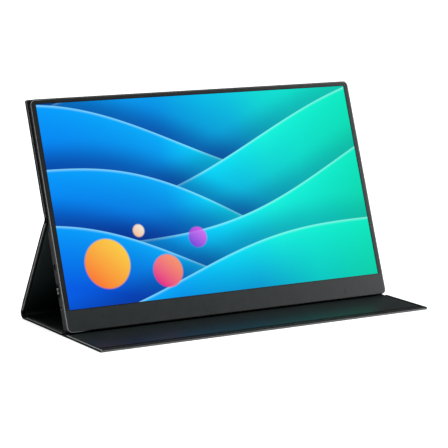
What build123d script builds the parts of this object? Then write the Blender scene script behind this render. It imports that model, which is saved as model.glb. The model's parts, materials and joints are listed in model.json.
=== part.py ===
from build123d import *
import math
import os

# Portable monitor standing in its folding cover.
# Row frame in mm: X to the right of someone facing the screen, Y away from them, Z up.
# The origin is on the table, in the middle of the ground that the cover takes up.

# Screen and bezel, from a 15.6 inch picture of 16 to 9
picture_width = 344.2
picture_height = 193.6
side_bezel = 5.3
top_bezel = 4.7
chin = 20.8
body_corner = 5.0

# Housing, with depths measured back from the front face
screen_tilt = 19.9
thin_depth = 4.4
thick_depth = 9.5
split_depth = 2.4
step_below_fold = 4.3
step_length = 11.0
shell_wall = 1.1
shell_side = 1.3
back_round = 1.6
bezel_plate = 0.7
bezel_chamfer = 0.4
window_chamfer = 0.25

# Display stack
cell_border = 2.9
cell_foot = 10.0
cell_corner = 1.2
cell_thick = 0.9
film_thick = 0.4
guide_thick = 0.7
reflector_thick = 0.15
tray_sheet = 0.3
led_strip_height = 1.4
stack_gap = 0.15

# Cover layers and edges
skin_thick = 0.7
board_thick = 1.2
lining_thick = 0.7
cover_side_reach = 1.9
cover_top_reach = 1.0
cover_corner = 4.0
hem_width = 3.3
hem_gap = 0.25
edge_bevel = 0.6

# Stand, with reaches measured from the screen's front bottom edge
front_reach = 66.3
rear_reach = 101.0
fold_height = 107.3
spine_radius = 6.0
spine_on_base = 16.0
spine_on_leg = 10.6
fold_on_leg = 3.0
fold_on_back = 1.5
groove_front = 0.3
groove_back = 10.0
crease_inset = 1.0
rest_gap = 0.15
magnet_gap = 0.3

# The side controls and ports, with heights up the face
port_depth = 6.0
jog_height = 39.9
jack_below_jog = 14.9
button_above_jog = 22.3
usb_low_height = 30.0
usb_high_height = 46.0
hdmi_height = 66.0

# Jog wheel
scoop_length = 14.0
scoop_width = 4.2
scoop_depth = 2.2
scoop_floor = 1.0
pad_margin = 1.5
cap_length = 6.4
cap_width = 3.4
cap_thick = 1.9
cap_proud = 0.9
cap_corner = 1.2
cap_bevel = 0.35
cap_dish = 0.35
pin_radius = 0.7
pin_fit = 0.06
pin_sink = 0.35
pin_length = 2.6
neck_width = 0.9
plunger_radius = 1.1
plunger_fit = 0.05
plunger_hole_gap = 0.2
plunger_grip = 1.6
jog_travel = 0.3

# Power button
button_length = 5.4
button_width = 2.0
button_proud = 0.3
button_gap = 0.15
button_rim = 1.0
button_rim_thick = 0.6
button_seat_gap = 0.1
button_travel = 0.4

# Headphone jack
jack_bore = 1.8
jack_nose = 2.25
jack_nose_gap = 0.1
jack_sink = 0.1
jack_bore_length = 13.0
jack_body_width = 8.0
jack_body_depth = 4.5
jack_end_wall = 1.0

# Port shells
usb_width = 8.94
usb_thick = 3.26
hdmi_width = 11.2
hdmi_thick = 3.4
hdmi_corner_cut = 1.1
port_length = 7.4
port_sheet = 0.3
port_sink = 0.2
port_gap = 0.15
port_floor = 1.0
tongue_thick = 0.7
tongue_length = 4.4
tongue_margin = 0.9

# Boards, chips and speakers
board_sheet = 1.0
main_board_width = 112.0
main_board_height = 56.0
main_board_low = 24.0
key_board_width = 16.0
key_board_above_button = 9.8
board_edge_gap = 0.3
rest_inset = 6.0
rest_width = 5.0
switch_size = 7.0
switch_thick = 3.6
switch_gap = 0.8
tact_size = 4.5
tact_thick = 3.2
tact_gap = 0.2
chip_size = 14.0
chip_thick = 1.2
chip_inset = 60.0
chip_height = 52.0
spreader_size = 38.0
spreader_thick = 0.8
driver_board_spare = 1.2
driver_board_height = 8.0
ribbon_width = 12.0
ribbon_thick = 0.2
ribbon_overlap = 3.0
key_cable_width = 8.0
key_cable_height = 60.0
speaker_width = 44.0
speaker_height = 13.0
speaker_inset = 62.0
speaker_low = 8.5
speaker_corner = 2.0
cone_width = 30.0
cone_height = 8.0
cone_depth = 1.0

# Speaker slots in the back of the housing
slot_count = 9
slot_pitch = 3.6
slot_width = 1.3
slot_length = 9.0

# Housing screws and the bosses that take them
screw_radius = 1.0
screw_head = 1.9
screw_head_thick = 0.9
screw_sink = 0.1
screw_fit = 0.1
screw_length = 4.0
screw_pad = 1.0
pad_width = 6.0
boss_radius = 2.3
boss_spare = 0.4
screw_inset = 12.0
screw_low = 7.5
screw_high = 84.0

# Magnets in the cover and the steel plates that they hold
magnet_count = 4
magnet_pitch = 82.0
magnet_width = 40.0
magnet_height = 8.0
magnet_up = 78.0
plate_thick = 0.5
magnet_fit = 0.1

# Sizes that follow from the ones above
body_width = picture_width + 2 * side_bezel
body_height = picture_height + top_bezel + chin
half_body = body_width / 2
cover_width = body_width + 2 * cover_side_reach
cover_thick = skin_thick + board_thick + lining_thick
strip_thick = skin_thick + lining_thick
cell_low = chin - cell_foot
cell_high = chin + picture_height + cell_border
cell_width = picture_width + 2 * cell_border
step_high = fold_height - step_below_fold
step_low = step_high - step_length
jack_height = jog_height - jack_below_jog
button_height = jog_height + button_above_jog
film_front = bezel_plate + cell_thick
guide_front = film_front + film_thick
reflector_front = guide_front + guide_thick
tray_front = reflector_front + reflector_thick
tray_back = tray_front + tray_sheet
board_back = port_depth - usb_thick / 2
board_front = board_back - board_sheet
cavity_back = thick_depth - shell_wall
key_board_low = jack_height + jack_body_width / 2
key_board_high = button_height + key_board_above_button
pad_inner = scoop_depth + scoop_floor
switch_front = pad_inner + switch_gap
main_board_right = half_body - shell_side - board_edge_gap
magnet_xs = [magnet_pitch * (n - (magnet_count - 1) / 2) for n in range(magnet_count)]
magnet_middle = fold_height + magnet_up
screw_xs = (screw_inset - half_body, half_body - screw_inset)
boss_top = cavity_back - screw_pad
screw_seat = thick_depth - screw_sink - screw_head_thick
screw_tip = screw_seat - screw_length
screw_bore = screw_radius + screw_fit / 2
strip_low = cell_low + tray_sheet + stack_gap
strip_high = strip_low + led_strip_height
led_width = cell_width - 2 * (tray_sheet + cell_corner)
main_board_left = main_board_right - main_board_width
key_board_left = -half_body + pad_inner + board_edge_gap
key_board_right = key_board_left + key_board_width
cap_inner = cap_thick - cap_proud
pin_inward = cap_inner - pin_sink
ribbon_left = main_board_left + ribbon_overlap
driver_board_reach = ribbon_left + ribbon_width + driver_board_spare
step_turn = 2 * math.atan((thick_depth - thin_depth) / (step_high - step_low))

# Side view of the stand, as (y, z) pairs from below the screen's front bottom edge
tilt = math.radians(screen_tilt)
edge_drop = (thick_depth - back_round) * math.sin(tilt) + back_round * (1 - math.cos(tilt))
screen_z = strip_thick + rest_gap + edge_drop


def side_point(height, depth):
    """Where a point of the leaning monitor is in the side view."""
    y = height * math.sin(tilt) + depth * math.cos(tilt)
    z = screen_z + height * math.cos(tilt) - depth * math.sin(tilt)
    return y, z


fold_y, fold_z = side_point(fold_height, thin_depth + magnet_gap + cover_thick)
leg_length = math.hypot(rear_reach - fold_y, fold_z)
leg_angle = math.atan2(fold_z, rear_reach - fold_y)
spine_tangent = spine_radius / math.tan(leg_angle / 2)
screen_y = (front_reach - rear_reach + spine_tangent - spine_radius) / 2
corner_y = screen_y + rear_reach
fold_y += screen_y

# The planes that the pieces are drawn on, each with Z out of the screen or up into the cover
monitor_plane = Plane(
    (0, screen_y, screen_z), x_dir=(1, 0, 0), z_dir=(0, -math.cos(tilt), math.sin(tilt))
)
back_plane = Plane(
    (0, fold_y, fold_z), x_dir=(1, 0, 0), z_dir=(0, -math.cos(tilt), math.sin(tilt))
)
leg_plane = Plane(
    (0, corner_y, 0), x_dir=(1, 0, 0), z_dir=(0, -math.sin(leg_angle), -math.cos(leg_angle))
)
base_plane = Plane((0, screen_y, 0), x_dir=(1, 0, 0), z_dir=(0, 0, 1))
flap_plane = Plane((0, screen_y, 0), x_dir=(-1, 0, 0), z_dir=(0, 0, 1))


def save(node, plane, *solids):
    """Place a sub-part's solids on their plane and write them as one file."""
    placed = [plane * solid for solid in solids]
    shape = placed[0] if len(placed) == 1 else Compound(children=placed)
    export_step(shape, f"parts/{node}.step")


def block(low, high):
    """A box between two opposite corners."""
    size = [b - a for a, b in zip(low, high)]
    middle = [(a + b) / 2 for a, b in zip(low, high)]
    return Pos(*middle) * Box(*size)


def layer(width, low, high, front, back, corner=0.0, cut=0.0):
    """A sheet across the monitor, its corners square, rounded or cut off."""
    outline = Rectangle(width, high - low)
    if corner:
        outline = RectangleRounded(width, high - low, corner)
    if cut:
        outline = chamfer(outline.vertices(), cut)
    return extrude(Pos(0, (low + high) / 2, -back) * outline, amount=back - front)


def post(x, height, radius, front, back):
    """A round boss or hole along the depth of the monitor."""
    middle = -(front + back) / 2
    return Pos(x, height, middle) * Cylinder(radius, back - front)


def wall_plane(side, inward, height, depth):
    """A drawing plane on the left (-1) or right (1) wall, facing out, X up the face."""
    return Plane(
        (side * (half_body - inward), height, -depth), x_dir=(0, 1, 0), z_dir=(side, 0, 0)
    )


# The cover's panels


def tongue(width, start, end, corner):
    """A flat outline from start to end, with its two far corners rounded."""
    outline = Pos(0, (start + end) / 2) * Rectangle(width, end - start)
    if corner:
        outline = fillet(outline.vertices().group_by(Axis.Y)[-1], corner)
    return outline


def turned_slab(start, end, corner):
    """The outside of a panel, bevelled along its free edges where the skin turns over them."""
    slab = extrude(tongue(cover_width, start, end, corner), amount=cover_thick)
    edges = []
    for edge in slab.edges():
        middle = edge.center()
        upright = abs(middle.Z - cover_thick / 2) < cover_thick / 4
        at_fold = abs(middle.Y - start) < 0.01 or (not corner and abs(middle.Y - end) < 0.01)
        if not upright and not at_fold:
            edges.append(edge)
    return chamfer(edges, edge_bevel)


def cover_panel(start, end, corner=0.0):
    """A panel's turned skin, stiffening board and inset lining, with a hem where it is free."""
    free = 1 if corner else 0
    skin_in = skin_thick
    board_width = cover_width - 2 * skin_in
    lining_width = cover_width - 2 * hem_width
    board_outline = tongue(board_width, start, end - free * skin_in, free * (corner - skin_in))
    hem_outline = tongue(lining_width, start, end - free * hem_width, free * (corner - hem_width))
    lining_outline = tongue(
        lining_width - 2 * hem_gap,
        start,
        end - free * (hem_width + hem_gap),
        free * (corner - hem_width - hem_gap),
    )
    board = Pos(0, 0, skin_thick) * extrude(board_outline, amount=board_thick)
    top = skin_thick + board_thick
    opening = Pos(0, 0, top) * extrude(hem_outline, amount=lining_thick)
    lining = Pos(0, 0, top) * extrude(lining_outline, amount=lining_thick)
    skin = turned_slab(start, end, corner) - board - opening
    return skin, board, lining


def save_panel(name, plane, pieces):
    """Write a panel's three layers as three sub-parts."""
    for layer_name, piece in zip(("skin", "board", "lining"), pieces):
        save(f"{name}_{layer_name}", plane, piece)


def magnet_slots(grow):
    """The bar magnets in the back panel's board, or the slots that hold them."""
    slots = []
    for x in magnet_xs:
        bar = Box(magnet_width + 2 * grow, magnet_height + 2 * grow, board_thick)
        slots.append(Pos(x, magnet_up, skin_thick + board_thick / 2) * bar)
    return slots


def across(points):
    """A strip of the cover's full width with this side outline, given as (y, z) pairs."""
    outline = Plane.YZ * make_face(Polyline(*points, close=True))
    return extrude(outline, amount=cover_width / 2, both=True)


def leg_point(along, inset):
    """A point of the leg in the side view, along it from the rear corner and inset from outside."""
    y = corner_y - along * math.cos(leg_angle) - inset * math.sin(leg_angle)
    z = along * math.sin(leg_angle) - inset * math.cos(leg_angle)
    return y, z


def back_point(above, inset):
    """A point of the back panel in the side view, above the fold and inset from outside."""
    y = fold_y + above * math.sin(tilt) - inset * math.cos(tilt)
    z = fold_z + above * math.cos(tilt) + inset * math.sin(tilt)
    return y, z


def spine_point(inset):
    """The middle of the bend at the rear corner, inset from the outside of the skin."""
    reach = spine_radius - inset
    y = corner_y - spine_tangent + reach * math.cos(leg_angle / 2)
    z = spine_radius - reach * math.sin(leg_angle / 2)
    return y, z


def spine_face(inset):
    """One face of the rear strip: its base end, the bend's start, middle and end, its leg end."""
    base_end = (corner_y - spine_on_base, inset)
    base_bend = (corner_y - spine_tangent, inset)
    leg_bend = leg_point(spine_tangent, inset)
    leg_end = leg_point(spine_on_leg, inset)
    return base_end, base_bend, spine_point(inset), leg_bend, leg_end


def spine_strip():
    """The bare skin and lining that bend round the rear corner, between two boards."""
    outer = spine_face(0.0)
    inner = spine_face(strip_thick)
    outline = [
        Line(outer[0], outer[1]),
        ThreePointArc(outer[1], outer[2], outer[3]),
        Line(outer[3], outer[4]),
        Line(outer[4], inner[4]),
        Line(inner[4], inner[3]),
        ThreePointArc(inner[3], inner[2], inner[1]),
        Line(inner[1], inner[0]),
        Line(inner[0], outer[0]),
    ]
    return extrude(Plane.YZ * make_face(outline), amount=cover_width / 2, both=True)


def fold_strip():
    """The bare skin and lining at the fold between the leg and the back panel."""
    on_leg = leg_length - fold_on_leg
    half_turn = (tilt + math.pi / 2 - leg_angle) / 2
    ridge = -strip_thick * math.tan(half_turn)
    outline = [
        leg_point(on_leg, 0),
        (fold_y, fold_z),
        back_point(fold_on_back, 0),
        back_point(fold_on_back, strip_thick),
        back_point(ridge, strip_thick),
        leg_point(on_leg, strip_thick),
    ]
    return across(outline)


def crease_strip():
    """The bare skin and lining in the groove that the screen's bottom edge stands in."""
    half = cover_width / 2
    return block((-half, groove_front, 0), (half, groove_back, strip_thick))


# The front frame and the display behind it


def screw_row(height, radius, front, back):
    """Posts, or holes, at the two housing screws of one row."""
    return [post(x, height, radius, front, back) for x in screw_xs]


def front_frame():
    """The bezel: a plate with the picture's window, a pocket for the glass and two bosses."""
    frame = layer(body_width, 0, body_height, 0, split_depth, body_corner)
    frame = chamfer(frame.faces().sort_by(Axis.Z)[-1].edges(), bezel_chamfer)
    frame -= layer(picture_width, chin, chin + picture_height, -1, split_depth)
    window_edges = frame.faces().sort_by(Axis.Z)[-1].inner_wires()[0].edges()
    frame = chamfer(window_edges, window_chamfer)
    frame -= layer(
        cell_width + 2 * stack_gap,
        cell_low - stack_gap,
        cell_high + stack_gap,
        bezel_plate,
        split_depth,
    )
    for boss in screw_row(screw_low, boss_radius, split_depth - bezel_plate, boss_top):
        frame += boss
    for bore in screw_row(screw_low, screw_bore, screw_tip - boss_spare, boss_top):
        frame -= bore
    return frame


def tray_sheet_layer(low, front, back):
    """A sheet inside the backlight tray's walls, from low up to the tray's top wall."""
    margin = tray_sheet + stack_gap
    width = cell_width - 2 * margin
    return layer(width, low, cell_high - margin, front, back, cut=cell_corner - tray_sheet)


def board_rests():
    """The low rests, pressed out of the tray, that the two boards sit on."""
    main_xs = (main_board_left + rest_inset, main_board_right - 2 * rest_inset)
    main_ys = (main_board_low + rest_inset, main_board_low + main_board_height - rest_inset)
    key_ys = (key_board_low + rest_inset, key_board_high - rest_inset)
    spots = [(x, y) for x in main_xs for y in main_ys]
    spots += [(key_board_right - rest_inset, y) for y in key_ys]
    half = rest_width / 2
    return [board(x - half, x + half, y - half, y + half, tray_back, board_front) for x, y in spots]


def panel_tray():
    """The backlight's steel pan, with two screw bosses and the rests for the boards."""
    tray = layer(cell_width, cell_low, cell_high, film_front, tray_back, cut=cell_corner)
    tray -= layer(
        cell_width - 2 * tray_sheet,
        cell_low + tray_sheet,
        cell_high - tray_sheet,
        film_front,
        tray_front,
        cut=cell_corner - tray_sheet / 2,
    )
    for boss in screw_row(screw_high, boss_radius, tray_back, boss_top):
        tray += boss
    for bore in screw_row(screw_high, screw_bore, screw_tip - boss_spare, boss_top):
        tray -= bore
    for rest in board_rests():
        tray += rest
    return tray


# The rear shell


def back_outline(wall, low, high):
    """The housing's side outline, or with a wall the cavity's, stepping from thick to thin."""
    drop = wall * math.tan(step_turn / 2)
    foot = (step_low - drop, wall - thick_depth)
    head = (step_high - drop, wall - thin_depth)
    middle = ((foot[0] + head[0]) / 2, (foot[1] + head[1]) / 2)
    lines = [
        Line((low, -split_depth), (low, foot[1])),
        Line((low, foot[1]), foot),
        TangentArc(foot, middle, tangent=(1, 0)),
        TangentArc(head, middle, tangent=(-1, 0)),
        Line(head, (high, head[1])),
        Line((high, head[1]), (high, -split_depth)),
        Line((high, -split_depth), (low, -split_depth)),
    ]
    return Plane.YZ * make_face(lines)


def stepped_block(inset, wall):
    """The housing's stepped form, or its cavity, inset at the sides and by a wall at the back."""
    outline = back_outline(wall, inset, body_height - inset)
    block_form = extrude(outline, amount=half_body - inset, both=True)
    plan = layer(
        body_width - 2 * inset,
        inset,
        body_height - inset,
        split_depth,
        thick_depth,
        body_corner - inset,
    )
    return block_form & plan


def back_rim(form):
    """The edges that run round the back of the stepped form, where it meets its side walls."""
    rim = []
    for edge in form.edges():
        middle = edge.center()
        ends = edge.position_at(0) - edge.position_at(1)
        along_depth = abs(ends.X) + abs(ends.Y) < 0.01
        across_back = abs(ends.Y) + abs(ends.Z) < 0.01 and 1 < middle.Y < body_height - 1
        at_split = abs(middle.Z + split_depth) < 0.01
        if not along_depth and not across_back and not at_split:
            rim.append(edge)
    return rim


def jog_scoop():
    """The finger scoop for the jog wheel: a slice of a cylinder across the left wall."""
    radius = (scoop_length**2 / 4 + scoop_depth**2) / (2 * scoop_depth)
    x = -half_body + scoop_depth - radius
    return Pos(x, jog_height, -port_depth) * Cylinder(radius, scoop_width)


def port_outline(kind, grow=0.0):
    """The outline of a port, or of its window when grown."""
    if kind == "usb":
        return SlotOverall(usb_width + 2 * grow, usb_thick + 2 * grow)
    half = hdmi_width / 2 + grow
    rise = hdmi_thick / 2 + grow
    cut = hdmi_corner_cut
    return make_face(
        Polyline(
            (-half, rise),
            (half, rise),
            (half, cut - rise),
            (half - cut, -rise),
            (cut - half, -rise),
            (-half, cut - rise),
            close=True,
        )
    )


def port_places():
    """Each port's kind, height and depth on the right wall."""
    hdmi_depth = board_back + hdmi_thick / 2
    return {
        "usb_c_port_lower": ("usb", usb_low_height, port_depth),
        "usb_c_port_upper": ("usb", usb_high_height, port_depth),
        "mini_hdmi_port": ("hdmi", hdmi_height, hdmi_depth),
    }


def speaker_slots(side):
    """The row of slots in the back of the shell, over one speaker."""
    slots = []
    for n in range(slot_count):
        x = side * (half_body - speaker_inset) + slot_pitch * (n - (slot_count - 1) / 2)
        place = Pos(x, speaker_low + speaker_height / 2, shell_wall - thick_depth)
        slots.append(place * Box(slot_width, slot_length, 4 * shell_wall))
    return slots


def wall_hole(side, height, depth, outline):
    """A straight hole of this outline through one side wall and anything just inside it."""
    return extrude(wall_plane(side, pad_inner, height, depth) * outline, amount=pad_inner)


def wall_cuts():
    """Everything that is cut through the shell's side walls."""
    rod_hole = Circle(plunger_radius + plunger_hole_gap)
    button_hole = SlotOverall(button_length + 2 * button_gap, button_width + 2 * button_gap)
    nose_hole = Circle(jack_nose + jack_nose_gap)
    cuts = [
        jog_scoop(),
        wall_hole(-1, jog_height, port_depth, rod_hole),
        wall_hole(-1, button_height, port_depth, button_hole),
        wall_hole(-1, jack_height, port_depth, nose_hole),
    ]
    for kind, height, depth in port_places().values():
        cuts.append(wall_hole(1, height, depth, port_outline(kind, port_gap)))
    return cuts


def rear_shell():
    """The moulded back: stepped, hollow and rounded, with its pads, pockets and openings."""
    form = stepped_block(0, 0)
    shell = fillet(back_rim(form), back_round) - stepped_block(shell_side, shell_wall)
    pad_half = scoop_length / 2 + pad_margin
    shell += block(
        (-half_body + shell_side / 2, jog_height - pad_half, -cavity_back),
        (-half_body + pad_inner, jog_height + pad_half, -tray_back),
    )
    half_pad = pad_width / 2
    for height in (screw_low, screw_high):
        for x in screw_xs:
            low, high = height - half_pad, height + half_pad
            shell += board(x - half_pad, x + half_pad, low, high, boss_top, cavity_back)
        for hole in screw_row(height, screw_bore, boss_top, thick_depth):
            shell -= hole
        for sink in screw_row(height, screw_head + screw_fit, screw_seat, thick_depth):
            shell -= sink
    for cut in wall_cuts() + speaker_slots(-1) + speaker_slots(1) + steel_plates(magnet_fit):
        shell -= cut
    return shell


def steel_plates(grow=0.0):
    """The thin steel plates on the shell's inner face, or the pockets that they lie in."""
    back = tray_back + magnet_fit + plate_thick + grow
    thick = plate_thick + grow
    plates = []
    for x in magnet_xs:
        bar = Box(magnet_width + 2 * grow, magnet_height + 2 * grow, thick)
        plates.append(Pos(x, magnet_middle, thick / 2 - back) * bar)
    return plates


def housing_screw(x, height):
    """A flat-headed screw with its head sunk in the back of the shell."""
    head = post(x, height, screw_head, screw_seat, thick_depth - screw_sink)
    return head + post(x, height, screw_radius, screw_tip, screw_seat)


def housing_screws():
    """The four screws that hold the shell to the frame and the tray."""
    return [housing_screw(x, y) for y in (screw_low, screw_high) for x in screw_xs]


# Boards, ports and speakers inside the thick part


def board(left, right, low, high, front, back):
    """A flat part with square corners, given by its sides, height and depths."""
    return block((left, low, -back), (right, high, -front))


def main_board():
    """The board behind the right of the screen that takes the picture in."""
    high = main_board_low + main_board_height
    return board(main_board_left, main_board_right, main_board_low, high, board_front, board_back)


def key_board():
    """The small board behind the left wall, under the button and the jog wheel."""
    low = key_board_low
    return board(key_board_left, key_board_right, low, key_board_high, board_front, board_back)


def chip():
    """The picture processor on the main board."""
    x = main_board_right - chip_inset
    half = chip_size / 2
    back = board_back + chip_thick
    return board(x - half, x + half, chip_height - half, chip_height + half, board_back, back)


def heat_spreader():
    """The aluminium plate that lies on the processor."""
    x = main_board_right - chip_inset
    half = spreader_size / 2
    front = board_back + chip_thick
    low = max(chip_height - half, main_board_low)
    return board(x - half, x + half, low, chip_height + half, front, front + spreader_thick)


def driver_board():
    """The narrow board under the display's foot that drives its pixels."""
    half = driver_board_reach
    low = strip_high
    return board(-half, half, low, low + driver_board_height, tray_back, tray_back + board_sheet)


def display_ribbon():
    """The flat cable from the main board down to the display's driver board."""
    low = strip_high + driver_board_height - ribbon_overlap
    high = main_board_low + ribbon_overlap
    right = ribbon_left + ribbon_width
    return board(ribbon_left, right, low, high, board_back, board_back + ribbon_thick)


def key_cable():
    """The flat cable that joins the key board to the main board."""
    left = key_board_right - ribbon_overlap
    right = main_board_left + ribbon_overlap
    low = key_cable_height - key_cable_width / 2
    high = key_cable_height + key_cable_width / 2
    return board(left, right, low, high, board_back, board_back + ribbon_thick)


def speaker(side):
    """A flat box speaker with its long cone facing the slots."""
    x = side * (half_body - speaker_inset)
    front = tray_back + stack_gap
    back = cavity_back - stack_gap
    outline = RectangleRounded(speaker_width, speaker_height, speaker_corner)
    middle = speaker_low + speaker_height / 2
    body = extrude(Pos(x, middle, -back) * outline, amount=back - front)
    cone_outline = SlotOverall(cone_width, cone_height)
    return body - extrude(Pos(x, middle, -back) * cone_outline, amount=cone_depth)


def port(kind, height, depth):
    """A sheet-metal port with its tongue, its mouth in the right wall's window."""
    mouth = wall_plane(1, port_sink, height, depth)
    shell = extrude(mouth * port_outline(kind), amount=-port_length)
    hollow = extrude(mouth * port_outline(kind, -port_sheet), amount=port_floor - port_length)
    width = (usb_width if kind == "usb" else hdmi_width) - 2 * port_sheet - 2 * tongue_margin
    floor = wall_plane(1, port_sink + port_length - port_floor, height, depth)
    tongue_bar = extrude(floor * Rectangle(width, tongue_thick), amount=tongue_length)
    return shell - hollow + tongue_bar


def audio_jack():
    """The headphone socket: a box on the wall's inside with its nose through the wall."""
    inner = wall_plane(-1, shell_side, jack_height, port_depth)
    mouth = wall_plane(-1, jack_sink, jack_height, port_depth)
    length = jack_sink + jack_bore_length + jack_end_wall - shell_side
    body = extrude(inner * Rectangle(jack_body_width, jack_body_depth), amount=-length)
    nose = extrude(mouth * Circle(jack_nose), amount=jack_sink - shell_side)
    bore = extrude(mouth * Circle(jack_bore), amount=-jack_bore_length)
    return body + nose - bore


# The side controls


def jog_switch():
    """The switch that carries the jog wheel's plunger in a bore."""
    front = wall_plane(-1, switch_front, jog_height, port_depth)
    thick = switch_thick / 2
    x = -half_body + switch_front
    box_low = (x, jog_height - switch_size / 2, -board_back - switch_thick)
    box_high = (x + switch_size, jog_height + switch_size / 2, -board_back)
    bore = Circle(plunger_radius + plunger_fit)
    deep = plunger_grip + 2 * jog_travel
    return block(box_low, box_high) - extrude(front * bore, amount=-deep)


def jog_plunger():
    """The plunger between the switch and the wheel, with the pin that the wheel rocks on."""
    tip = switch_front + plunger_grip
    rod_end = wall_plane(-1, tip, jog_height, port_depth)
    rod = extrude(rod_end * Circle(plunger_radius), amount=tip - scoop_depth)
    neck_end = wall_plane(-1, scoop_depth, jog_height, port_depth)
    neck_outline = Rectangle(neck_width, plunger_radius)
    neck = extrude(neck_end * neck_outline, amount=scoop_depth - pin_inward)
    return rod + neck + jog_pin(pin_radius, pin_length)


def jog_pin(radius, length):
    """The short pin that the thumb piece snaps over, along the depth of the monitor."""
    return Pos(-half_body + pin_inward, jog_height, -port_depth) * Cylinder(radius, length)


def jog_wheel():
    """The thumb piece: a rounded bar with a dished face and a groove that snaps on the pin."""
    under = wall_plane(-1, cap_inner, jog_height, port_depth)
    cap = extrude(under * RectangleRounded(cap_length, cap_width, cap_corner), amount=cap_thick)
    outer_face = cap.faces().sort_by(Axis.X)[0]
    cap = chamfer(outer_face.edges(), cap_bevel)
    radius = (cap_length**2 / 4 + cap_dish**2) / (2 * cap_dish)
    dish = Cylinder(radius, scoop_width)
    cap -= Pos(-half_body - cap_proud + cap_dish - radius, jog_height, -port_depth) * dish
    return cap - jog_pin(pin_radius + pin_fit, cap_width)


def power_button():
    """The power button, with a rim inside the wall that keeps it in its hole."""
    rim_front = shell_side + button_seat_gap
    face = wall_plane(-1, rim_front, button_height, port_depth)
    cap = extrude(face * SlotOverall(button_length, button_width), amount=rim_front + button_proud)
    grow = 2 * button_rim
    rim = SlotOverall(button_length + grow, button_width + grow)
    return cap + extrude(face * rim, amount=-button_rim_thick)


def power_switch():
    """The small switch behind the power button, on the key board's back."""
    x = -half_body + shell_side + button_seat_gap + button_rim_thick + button_travel + tact_gap
    low = (x, button_height - tact_size / 2, -board_back - tact_thick)
    high = (x + tact_size, button_height + tact_size / 2, -board_back)
    return block(low, high)


def main():
    os.makedirs("parts", exist_ok=True)
    base = cover_panel(groove_back, rear_reach - spine_on_base)
    flap = cover_panel(-groove_front, front_reach, cover_corner)
    leg = cover_panel(spine_on_leg, leg_length - fold_on_leg)
    back_high = body_height + cover_top_reach - fold_height
    skin, back_board, lining = cover_panel(fold_on_back, back_high, cover_corner)
    for slot in magnet_slots(magnet_fit):
        back_board -= slot
    save_panel("base_panel", base_plane, base)
    save_panel("front_flap", flap_plane, flap)
    save_panel("leg_panel", leg_plane, leg)
    save_panel("back_panel", back_plane, (skin, back_board, lining))
    save("holding_magnets", back_plane, *magnet_slots(0.0))
    save("crease_strip", base_plane, crease_strip())
    save("spine_strip", Plane.XY, spine_strip())
    save("fold_strip", Plane.XY, fold_strip())

    display = {
        "lcd_panel": layer(cell_width, cell_low, cell_high, bezel_plate, film_front),
        "diffuser_films": tray_sheet_layer(strip_low, film_front, guide_front),
        "light_guide": tray_sheet_layer(strip_high + stack_gap, guide_front, reflector_front),
        "led_strip": layer(led_width, strip_low, strip_high, guide_front, reflector_front),
        "reflector_sheet": tray_sheet_layer(strip_low, reflector_front, tray_front),
        "panel_tray": panel_tray(),
        "driver_board": driver_board(),
        "display_ribbon": display_ribbon(),
    }
    inside = {
        "front_frame": front_frame(),
        "rear_shell": rear_shell(),
        "main_board": main_board(),
        "key_board": key_board(),
        "key_cable": key_cable(),
        "picture_processor": chip(),
        "heat_spreader": heat_spreader(),
        "left_speaker": speaker(-1),
        "right_speaker": speaker(1),
        "audio_jack": audio_jack(),
        "jog_switch": jog_switch(),
        "jog_plunger": jog_plunger(),
        "jog_wheel": jog_wheel(),
        "power_button": power_button(),
        "power_switch": power_switch(),
    }
    for name, place in port_places().items():
        inside[name] = port(*place)
    for name, solid in (display | inside).items():
        save(name, monitor_plane, solid)
    save("steel_plates", monitor_plane, *steel_plates())
    save("housing_screws", monitor_plane, *housing_screws())

    print("screen corner", round(screen_y, 3), round(screen_z, 3))
    print("fold", round(fold_y, 3), round(fold_z, 3), "leg", round(leg_length, 2))
    print("leg angle", round(math.degrees(leg_angle), 2), "rear corner", round(corner_y, 3))
    print("bend", [round(v, 3) for v in spine_point(strip_thick / 2)])
    print("cover", cover_width, "crease", screen_y + groove_front + crease_inset, skin_thick)


main()
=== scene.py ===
# %% [markdown]
# # A portable monitor that stands in its own folding cover
# This notebook dresses a finished CAD model. The CAD model is the fixed frame: it says where each
# piece is, and which body it moves with. The cells below give every piece its finish, model the
# soft cover and the small details, and set up the photograph's camera and light. Everything is in
# metres in the CAD model's own frame, and sizes are written in millimetres times MM.

# %% Load the frame
import json
import math
from functools import partial

import bmesh
import bpy
from mathutils import Matrix, Vector

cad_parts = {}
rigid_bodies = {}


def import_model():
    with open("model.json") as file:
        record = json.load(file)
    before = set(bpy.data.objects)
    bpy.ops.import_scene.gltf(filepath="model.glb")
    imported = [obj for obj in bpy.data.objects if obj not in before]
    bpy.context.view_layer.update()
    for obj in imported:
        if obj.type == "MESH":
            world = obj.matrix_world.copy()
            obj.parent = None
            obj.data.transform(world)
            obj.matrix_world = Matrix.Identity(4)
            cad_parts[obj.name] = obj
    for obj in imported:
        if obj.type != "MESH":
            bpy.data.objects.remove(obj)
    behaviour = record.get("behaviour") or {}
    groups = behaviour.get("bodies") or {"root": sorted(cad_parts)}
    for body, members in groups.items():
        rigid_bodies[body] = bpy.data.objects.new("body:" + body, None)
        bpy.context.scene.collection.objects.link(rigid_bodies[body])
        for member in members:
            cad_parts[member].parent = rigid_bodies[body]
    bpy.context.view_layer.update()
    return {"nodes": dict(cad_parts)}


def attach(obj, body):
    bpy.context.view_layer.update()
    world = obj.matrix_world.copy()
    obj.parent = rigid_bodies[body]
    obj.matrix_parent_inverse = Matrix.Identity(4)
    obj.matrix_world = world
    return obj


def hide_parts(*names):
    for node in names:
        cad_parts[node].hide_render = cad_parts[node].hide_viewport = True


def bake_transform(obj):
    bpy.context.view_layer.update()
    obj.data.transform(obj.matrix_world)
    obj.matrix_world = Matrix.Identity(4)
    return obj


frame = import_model()
nodes = frame["nodes"]
scene = bpy.context.scene

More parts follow.
